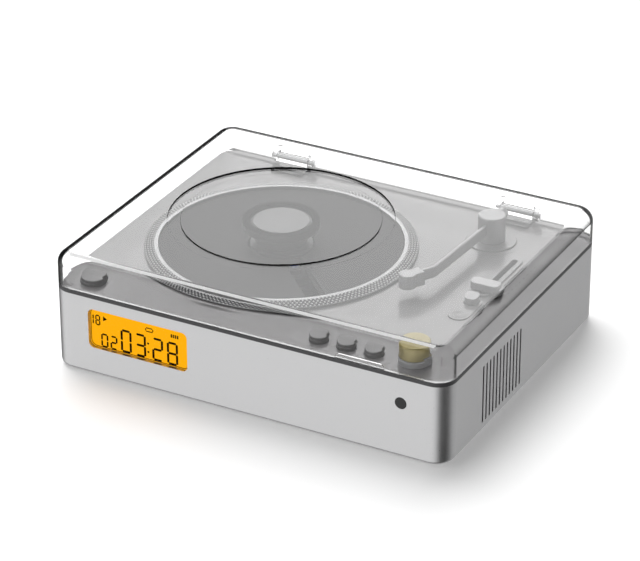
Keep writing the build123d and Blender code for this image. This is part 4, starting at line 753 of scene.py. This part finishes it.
def on_rounding(corners):
    """Outer faces that are turned away from the box's flat sides, outside the groove."""
    centre = sum(corners, Vector()) / len(corners)
    out = (corners[1] - corners[0]).cross(corners[2] - corners[1]).normalized()
    slanted = max(abs(v) for v in out) < FLAT
    beyond = hypot(centre.x - DISC.x, centre.y - DISC.y) > GROOVE_OUT + GROOVE_CLEAR
    return slanted and out.dot(centre - cover_centre) > 0 and beyond


def on_painted_highlight(corners):
    """Faces of the front top rounding that look up at the painted highlight's angles."""
    centre = sum(corners, Vector()) / len(corners)
    out_y, out_z = COVER_LOW.y + EDGE_R - centre.y, centre.z - (COVER_HIGH.z - EDGE_R)
    straight = abs(centre.x) < COVER_HIGH.x - CORNER_R + HIGHLIGHT_PAST
    outer = abs(hypot(out_y, out_z) - EDGE_R) < HIGHLIGHT_PLAY
    return straight and outer and out_y > 0 and HIGHLIGHT_FROM < atan2(out_z, out_y) < HIGHLIGHT_TO


dress(cover, "cover")
others = (("rim", on_rim), ("rounding", on_rounding), ("strip", on_painted_highlight))
for place, (kind, wanted) in enumerate(others, 1):
    cover.data.materials.append(None)
    wear(cover, place, kind)
    print(kind, "faces:", pick(cover, "FACE", wanted))
    cover.active_material_index = place
    bpy.ops.object.material_slot_assign()
    fresh()
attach(cover, "cover")
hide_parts("dust_cover")

# %% [markdown]
# ## Display figures
#
# The display is a seven-segment one. Its figures lie on the amber panel behind the clear window,
# so they are seen a little higher and further right than on the window's face. Places are given
# from the window's lower left corner and moved back by that shift. A font would not leave the
# gaps between the bars, so each bar is a thin block whose ends are bevelled.

# %% Display bars
WINDOW_LOW, WINDOW_HIGH = low("display_window"), high("display_window")
PANEL_FACE = low("display_panel").y
SHIFT_X, SHIFT_Z, SQUEEZE = -1.25, -0.95, 0.988
BAR_T, BAR_END_STEPS = 0.06, 3


def bar(x0, z0, x1, z1, stroke, point=0.36):
    """One dark bar with bevelled ends, given in millimetres on the window."""
    level = abs(z1 - z0) < abs(x1 - x0)
    half = stroke / 2
    along, across = (0, half) if level else (half, 0)
    start = (min(x0, x1) - along, min(z0, z1) - across)
    end = (max(x0, x1) + along, max(z0, z1) + across)

    def place(x, z, y):
        return (WINDOW_LOW.x + (SQUEEZE * x + SHIFT_X) * MM, y, WINDOW_LOW.z + (z + SHIFT_Z) * MM)

    piece = box_piece("bar", place(*start, PANEL_FACE - BAR_T * MM), place(*end, PANEL_FACE))
    bevel(piece, lambda c: abs(c[0].y - c[1].y) > BAR_T / 2 * MM, stroke * point * MM, BAR_END_STEPS)
    return piece


print("window in mm:", [round(v / MM, 2) for v in WINDOW_HIGH - WINDOW_LOW])

# %% Seven-segment figures
SEGMENTS = {"0": "abcdef", "1": "bc", "2": "abged", "3": "abgcd", "8": "abcdefg"}
BAR_GAP, LEVEL_TRIM, UPRIGHT_TRIM = 0.10, 0.4, 0.3   # shares of the stroke, then of its half


def digit(figure, x, z, width, height, stroke):
    """Bars of one seven-segment figure whose lower left corner is at x, z."""
    half, gap = stroke / 2, stroke * BAR_GAP
    left, right = x + half, x + width - half
    bottom, centre, top = z + half, z + height / 2, z + height - half
    lines = {"a": (left, top, right, top), "g": (left, centre, right, centre),
             "d": (left, bottom, right, bottom),
             "f": (left, centre, left, top), "b": (right, centre, right, top),
             "e": (left, bottom, left, centre), "c": (right, bottom, right, centre)}
    made = []
    for name in SEGMENTS[figure]:
        x0, z0, x1, z1 = lines[name]
        if name in "agd":
            made.append(bar(x0 + gap + half * LEVEL_TRIM, z0, x1 - gap - half * LEVEL_TRIM, z1, stroke))
        else:
            made.append(bar(x0, z0 + gap + half * UPRIGHT_TRIM, x1, z1 - gap - half * UPRIGHT_TRIM, stroke))
    return made


TIME_SIZE, TRACK_SIZE, COUNT_SIZE = (6.4, 13.0, 1.25), (4.2, 7.8, 0.95), (2.9, 5.9, 0.72)
COLON_X = 34.9
parts = []
for figure, x in (("0", 18.8), ("3", 27.2), ("2", 37.2), ("8", 45.8)):
    parts += digit(figure, x, 1.3, *TIME_SIZE)
for z in (5.2, 10.0):
    parts.append(bar(COLON_X, z - 0.55, COLON_X, z + 0.55, 1.1))
for figure, x in (("0", 7.2), ("2", 12.6)):
    parts += digit(figure, x, 1.2, *TRACK_SIZE)
for figure, x in (("1", 0.3), ("8", 4.1)):
    parts += digit(figure, x, 12.9, *COUNT_SIZE)
print("bars of the figures:", len(parts))

# %% [markdown]
# ## Display symbols
#
# Above the figures stand a play triangle, four short strokes and an outlined box. The triangle is
# a plain bar whose far end is squeezed to a tip, which keeps its other corners sharp.

# %% Display symbols
PLAY_FROM, PLAY_TO, PLAY_Z, PLAY_H = 8.7, 11.0, 17.4, 2.7
PLAY_BLUNT = 0.02    # how far its corners are rounded, as a share of its height
TIP_REACH, TIP_SHARE = 0.3 * MM, 0.05


def joined(name, parts, kind, body):
    """Join parts into one named piece that rides on a body."""
    fresh()
    for part in parts:
        part.select_set(True)
    bpy.context.view_layer.objects.active = parts[0]
    bpy.ops.object.join()
    piece = bpy.context.object
    piece.name = piece.data.name = name
    dress(piece, kind)
    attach(piece, body)
    return piece


play = bar(PLAY_FROM, PLAY_Z, PLAY_TO, PLAY_Z, PLAY_H, PLAY_BLUNT)
tip = WINDOW_LOW + Vector((SQUEEZE * PLAY_TO + SHIFT_X, 0, PLAY_Z + SHIFT_Z)) * MM
pick(play, "VERT", lambda c: c[0].x > tip.x - TIP_REACH)
bpy.ops.transform.resize(value=(1, 1, TIP_SHARE), center_override=tip)
parts.append(play)
for x in (48.2, 49.4, 50.6, 51.8):
    parts.append(bar(x + 0.4, 16.8, x + 0.4, 18.8, 0.8))
for z in (16.8, 18.7):
    parts.append(bar(33.9, z, 37.6, z, 0.55))
for x in (33.7, 37.8):
    parts.append(bar(x, 17.1, x, 18.4, 0.55))
joined("display_figures", parts, "digit", "case")
print("display parts:", len(parts))

# %% [markdown]
# ## Display edge
#
# Where the backlight ends, a thin darker line runs round the window. It is a flat frame on the
# panel: a rounded slab with a slightly smaller one cut out. A line in the panel's finish would do
# as well, but a frame stays sharp at any distance.

# %% Display edge
PANEL_R, PANEL_STEPS = 3.5, 10
LINE_OUT, LINE_IN, LINE_T, LINE_CUT = -0.05, -0.45, 0.04, 0.2   # mm from the window's edge, and thick


def panel_slab(name, grow, near, far):
    """Round-cornered slab over the whole window, grown or shrunk by some millimetres."""
    piece = box_piece(name, (WINDOW_LOW.x - grow * MM, PANEL_FACE - near * MM, WINDOW_LOW.z - grow * MM),
                      (WINDOW_HIGH.x + grow * MM, PANEL_FACE + far * MM, WINDOW_HIGH.z + grow * MM))
    bevel(piece, lambda c: abs(c[0].y - c[1].y) > 0.01 * MM, (PANEL_R + grow) * MM, PANEL_STEPS)
    return piece


edge = panel_slab("display_edge", LINE_OUT, LINE_T, 0.0)
cut(edge, panel_slab("edge_inside", LINE_IN, LINE_CUT, LINE_CUT))
dress(edge, "edge")
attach(edge, "case")
print("display edge faces:", len(edge.data.polygons))

# %% [markdown]
# ## Dots on the ring
#
# The ring's slope carries four rows of small raised dots, like the speed marks of a record
# platter. In each row one dot is modelled, a coarse ball flattened and sunk in the slope, and an
# array modifier turns it round the disc's axis. A bump in the finish would be quicker, but it
# would leave no shape.

# %% Ring dots
RING_LOW, RING_HIGH = low("platter_ring"), high("platter_ring")
RING_OUT = (RING_HIGH.x - RING_LOW.x) / 2
SLOPE_W, SLOPE_EDGE = 5.2, 1.35 * MM
SLOPE_IN = RING_OUT - SLOPE_W * MM
SLOPE_FALL = (RING_HIGH.z - RING_LOW.z - SLOPE_EDGE) / SLOPE_W / MM
DOT_R, DOT_H, DOTS = 0.52 * MM, 0.34 * MM, 200
DOT_ROWS = (0.65, 1.95, 3.25, 4.55)
step = 2 * pi / DOTS
rows = []
for row, reach in enumerate(DOT_ROWS):
    radius = SLOPE_IN + reach * MM
    height = RING_HIGH.z - reach * MM * SLOPE_FALL
    angle = step / 2 * (row % 2)
    at = (DISC.x + radius * cos(angle), DISC.y + radius * sin(angle), height)
    fresh()
    bpy.ops.mesh.primitive_uv_sphere_add(segments=8, ring_count=6, radius=1, scale=(DOT_R, DOT_R, DOT_H),
                                         location=at)
    dot = settled("dot")
    turn = bpy.data.objects.new("turn", None)
    bpy.context.scene.collection.objects.link(turn)
    axis = Matrix.Translation((DISC.x, DISC.y, 0))
    turn.matrix_world = axis @ Matrix.Rotation(step, 4, "Z") @ axis.inverted()
    bpy.context.view_layer.update()
    modified(dot, "ARRAY", count=DOTS, use_relative_offset=False, use_object_offset=True, offset_object=turn)
    bpy.data.objects.remove(turn)
    smooth(dot, 60.0)
    rows.append(dot)
joined("ring_dots", rows, "dot", "case")
print("dots:", len(rows) * DOTS)

# %% [markdown]
# ## The ring's slope, darkened by painted shade
#
# The ring has two bright lips, and the slope between them looks darker, as it mirrors dark surroundings.
# Here that is painted shade: the slope's colour is darker, which sets off the dots. It is one turned piece,
# so the shade is painted in its finish: the distance from the disc's axis says where the slope is.
# A second mesh for the slope would lie face to face with the ring.

# %% Darker slope: painted shade
SHADE_MIDDLE, SHADE_HALF = 2.5 * MM, 2.4 * MM
tree = finishes["ring"].node_tree
colour_in = tree.nodes["Principled BSDF"].inputs["Base Color"]
coords = node(tree, "ShaderNodeTexCoord")
flat = node(tree, "ShaderNodeVectorMath", operation="MULTIPLY_ADD")
flat.inputs[1].default_value = (1, 1, 0)
flat.inputs[2].default_value = (-DISC.x, -DISC.y, 0)
from_axis = node(tree, "ShaderNodeVectorMath", operation="LENGTH")
painted_shade_on_slope = node(tree, "ShaderNodeMath", operation="COMPARE")
painted_shade_on_slope.inputs[1].default_value = SLOPE_IN + SHADE_MIDDLE
painted_shade_on_slope.inputs[2].default_value = SHADE_HALF
darker = node(tree, "ShaderNodeMix", data_type="RGBA")
# painted shade: the slope's colour, darker than the lips
darker.inputs["B"].default_value = (0.09, 0.09, 0.092, 1)
tree.links.new(coords.outputs["Object"], flat.inputs[0])
tree.links.new(flat.outputs["Vector"], from_axis.inputs[0])
tree.links.new(from_axis.outputs["Value"], painted_shade_on_slope.inputs[0])
tree.links.new(painted_shade_on_slope.outputs["Value"], darker.inputs["Factor"])
tree.links.new(colour_in.links[0].from_socket, darker.inputs["A"])
tree.links.new(darker.outputs["Result"], colour_in)
print("slope from", round(SLOPE_IN / MM, 2), "to", round(RING_OUT / MM, 2))

# %% [markdown]
# ## Printed marks on the deck
#
# The marks that say nothing in words are kept: a dotted scale beside the fader, an arc beside the
# arm, a start dot and a growing arc round the knob, and a round sign at the rocker's near end. A
# mark is a flat slab a few hundredths of a millimetre thick, as screen printing leaves it. An arc
# is spun from a small block, which gives an even width with few faces.

# %% Spots and arcs
PRINT_T = 0.04 * MM
SPOT_SIDES = 16
ARC_START = 0.01 * MM    # half length of the block that an arc is spun from
ARC_STEP, ARC_LEAST = 6, 4   # degrees for each face, and the fewest faces


def spot(x, y, radius):
    """Round printed spot on the deck."""
    return rod_piece("spot", radius * MM, (x, y, DECK_TOP), (x, y, DECK_TOP + PRINT_T), SPOT_SIDES)


def arc_mark(x, y, radius, width, start, end, base=DECK_TOP):
    """Flat arc round x, y between two angles in degrees."""
    piece = box_piece("arc", (x + (radius - width / 2) * MM, y - ARC_START, base),
                      (x + (radius + width / 2) * MM, y + ARC_START, base + PRINT_T))
    hold(piece)
    bpy.ops.transform.rotate(value=-radians(start), orient_axis="Z", center_override=(x, y, base))
    bpy.ops.object.transform_apply(location=True, rotation=True, scale=True)
    ahead = Vector((-sin(radians(start)), cos(radians(start)), 0))
    pick(piece, "FACE", lambda c: all((v - Vector((x, y, v.z))).dot(ahead) > ARC_START / 2 for v in c))
    steps = max(ARC_LEAST, int(abs(end - start) / ARC_STEP))
    bpy.ops.mesh.spin(steps=steps, angle=radians(end - start), center=(x, y, base), axis=(0, 0, 1))
    bpy.ops.mesh.select_all(action="SELECT")
    bpy.ops.mesh.remove_doubles(threshold=0.001 * MM)
    bpy.ops.mesh.normals_make_consistent(inside=False)
    fresh()
    return piece


print("print thickness in mm:", round(PRINT_T / MM, 2))

# %% Marks
ARM, KNOB, PLATE = middle("arm_pillar"), middle("volume_knob"), middle("rocker_plate")
POWER = low("button_power")
SCALE_X, SCALE_FROM, SCALE_STEP = middle("fader_track").x + 10.5 * MM, 7.9, 4.5
DOT_MARK = 0.5
marks = [spot(SCALE_X, (SCALE_FROM + SCALE_STEP * i) * MM, DOT_MARK) for i in range(8)]
marks.append(arc_mark(ARM.x, ARM.y, 16.5, 0.4, -9, 61))
marks.append(spot(KNOB.x - 13.1 * MM, KNOB.y + 6.3 * MM, DOT_MARK))
marks.append(arc_mark(KNOB.x, KNOB.y, 13.2, 0.35, 40, 72))
for radius in (2.1, 3.3):
    marks.append(arc_mark(PLATE.x, low("rocker_plate").y + 5.3 * MM, radius, 0.25, 20, 340,
                          high("rocker_plate").z))
marks.append(arc_mark(POWER.x - 1.0 * MM, POWER.y - 1.2 * MM, 1.4, 0.35, 120, 420))
joined("deck_marks", marks, "print", "case")
print("marks:", len(marks))

# %% [markdown]
# ## Cloth in the vents
#
# The speakers sit behind upright slots in both side walls. Each slot has a strip of dark cloth at
# its bottom, so that nothing shines out from inside. One sheet behind the wall would lie in the
# speakers' way, so one strip is modelled, with round ends, and repeated along the wall.

# %% Vent cloth
SLOT_Y, SLOT_PITCH, SLOTS = -48.3 * MM, 3.86 * MM, 12
CLOTH_IN, CLOTH_OUT = 2.2 * MM, 1.9 * MM   # below the wall's outer face
CLOTH_HALF, CLOTH_LOW, CLOTH_HIGH, CLOTH_R = 0.72 * MM, 5.75 * MM, 37.15 * MM, 0.7 * MM
for name, side in (("vent_cloth_left", -1), ("vent_cloth_right", 1)):
    wall = side * high("case_shell").x
    faces = sorted((wall - side * CLOTH_IN, wall - side * CLOTH_OUT))
    cloth = box_piece(name, (faces[0], SLOT_Y - CLOTH_HALF, CLOTH_LOW),
                      (faces[1], SLOT_Y + CLOTH_HALF, CLOTH_HIGH))
    bevel(cloth, lambda c: abs(c[0].x - c[1].x) > 0.2 * MM, CLOTH_R, 4)
    modified(cloth, "ARRAY", count=SLOTS, use_relative_offset=False, use_constant_offset=True,
             constant_offset_displace=(0, SLOT_PITCH, 0))
    dress(cloth, "cloth")
    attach(cloth, "case")
print("cloth strips:", 2 * SLOTS)

# %% [markdown]
# ## Floor
#
# The player stands on a white sheet. Lamplight on a white floor carries the shadows, and a plain
# glow lifts it to the white of the background. Only the camera's rays and the rays through clear
# plastic see that glow, so it throws no light up at the player. Rays that come off a glossy
# piece, or that are mirrored inside the cover, pass by the floor and find the studio's panels:
# a bright floor in every reflection would leave the metal and the clear roundings flat.

# %% Floor finish
GLOW, GLOW_THROUGH = 0.275, 0.5   # for all rays that see it, and what rays through plastic add
fresh()
bpy.ops.mesh.primitive_plane_add(size=12, location=(0, 0, 0))
floor = settled("studio_floor")
paper, tree, surface = blank("studio_paper")
surface.inputs["Base Color"].default_value = (0.88, 0.88, 0.88, 1)
surface.inputs["Roughness"].default_value = 1.0
surface.inputs["Specular IOR Level"].default_value = 0.0
glow = node(tree, "ShaderNodeEmission")
glow.inputs["Color"].default_value = (1.0, 1.0, 1.0, 1)
rays = node(tree, "ShaderNodeLightPath")
refracted, glossy = rays.outputs["Is Transmission Ray"], rays.outputs["Is Glossy Ray"]
seen = maths(tree, "MAXIMUM", rays.outputs["Is Camera Ray"], refracted)
strength = maths(tree, "ADD", maths(tree, "MULTIPLY", refracted, number=GLOW_THROUGH),
                 maths(tree, "MULTIPLY", seen, number=GLOW))
tree.links.new(strength, glow.inputs["Strength"])
both = node(tree, "ShaderNodeAddShader")
tree.links.new(surface.outputs["BSDF"], both.inputs[0])
tree.links.new(glow.outputs["Emission"], both.inputs[1])
print("glow:", GLOW, "and through plastic:", GLOW + GLOW_THROUGH)

# %% Floor that reflections pass by
mirrored = maths(tree, "MULTIPLY", glossy, maths(tree, "LESS_THAN", refracted))
one_sheet = maths(tree, "LESS_THAN", rays.outputs["Transmission Depth"], number=ONE_SHEET)
turned_inside = maths(tree, "MULTIPLY", one_sheet, maths(tree, "GREATER_THAN", rays.outputs["Glossy Depth"]))
turned_inside = maths(tree, "MULTIPLY", turned_inside, refracted)
gone = node(tree, "ShaderNodeBsdfTransparent")
pass_by = node(tree, "ShaderNodeMixShader")
tree.links.new(maths(tree, "MAXIMUM", mirrored, turned_inside), pass_by.inputs["Fac"])
tree.links.new(both.outputs["Shader"], pass_by.inputs[1])
tree.links.new(gone.outputs["BSDF"], pass_by.inputs[2])
tree.links.new(pass_by.outputs["Shader"], tree.nodes["Material Output"].inputs["Surface"])
floor.data.materials.append(paper)
print("floor nodes:", len(tree.nodes))

# %% [markdown]
# ## Key lamp
#
# One wide, soft lamp from behind on the left gives the shadows that lie in front and on the
# right. An area lamp would do, but its light falls off across the object, so it is a sun lamp
# with a large angle. Clear plastic and gloss don't show it, because they show the painted softbox.

# %% Key lamp
LAMP_PLACE, LAMP_FROM = (-0.55, 0.75, 0.95), (-0.55, 0.55, 1.0)
LAMP_ENERGY, LAMP_SPREAD = 2.3, radians(50)
bpy.ops.object.light_add(type="SUN", location=LAMP_PLACE)
lamp = bpy.context.object
lamp.name = "key_lamp"
lamp.data.angle = LAMP_SPREAD
lamp.data.energy = LAMP_ENERGY
lamp.visible_glossy = lamp.visible_transmission = False
lamp.rotation_euler = (-Vector(LAMP_FROM)).to_track_quat("-Z", "Y").to_euler()
print("lamp from", LAMP_FROM)
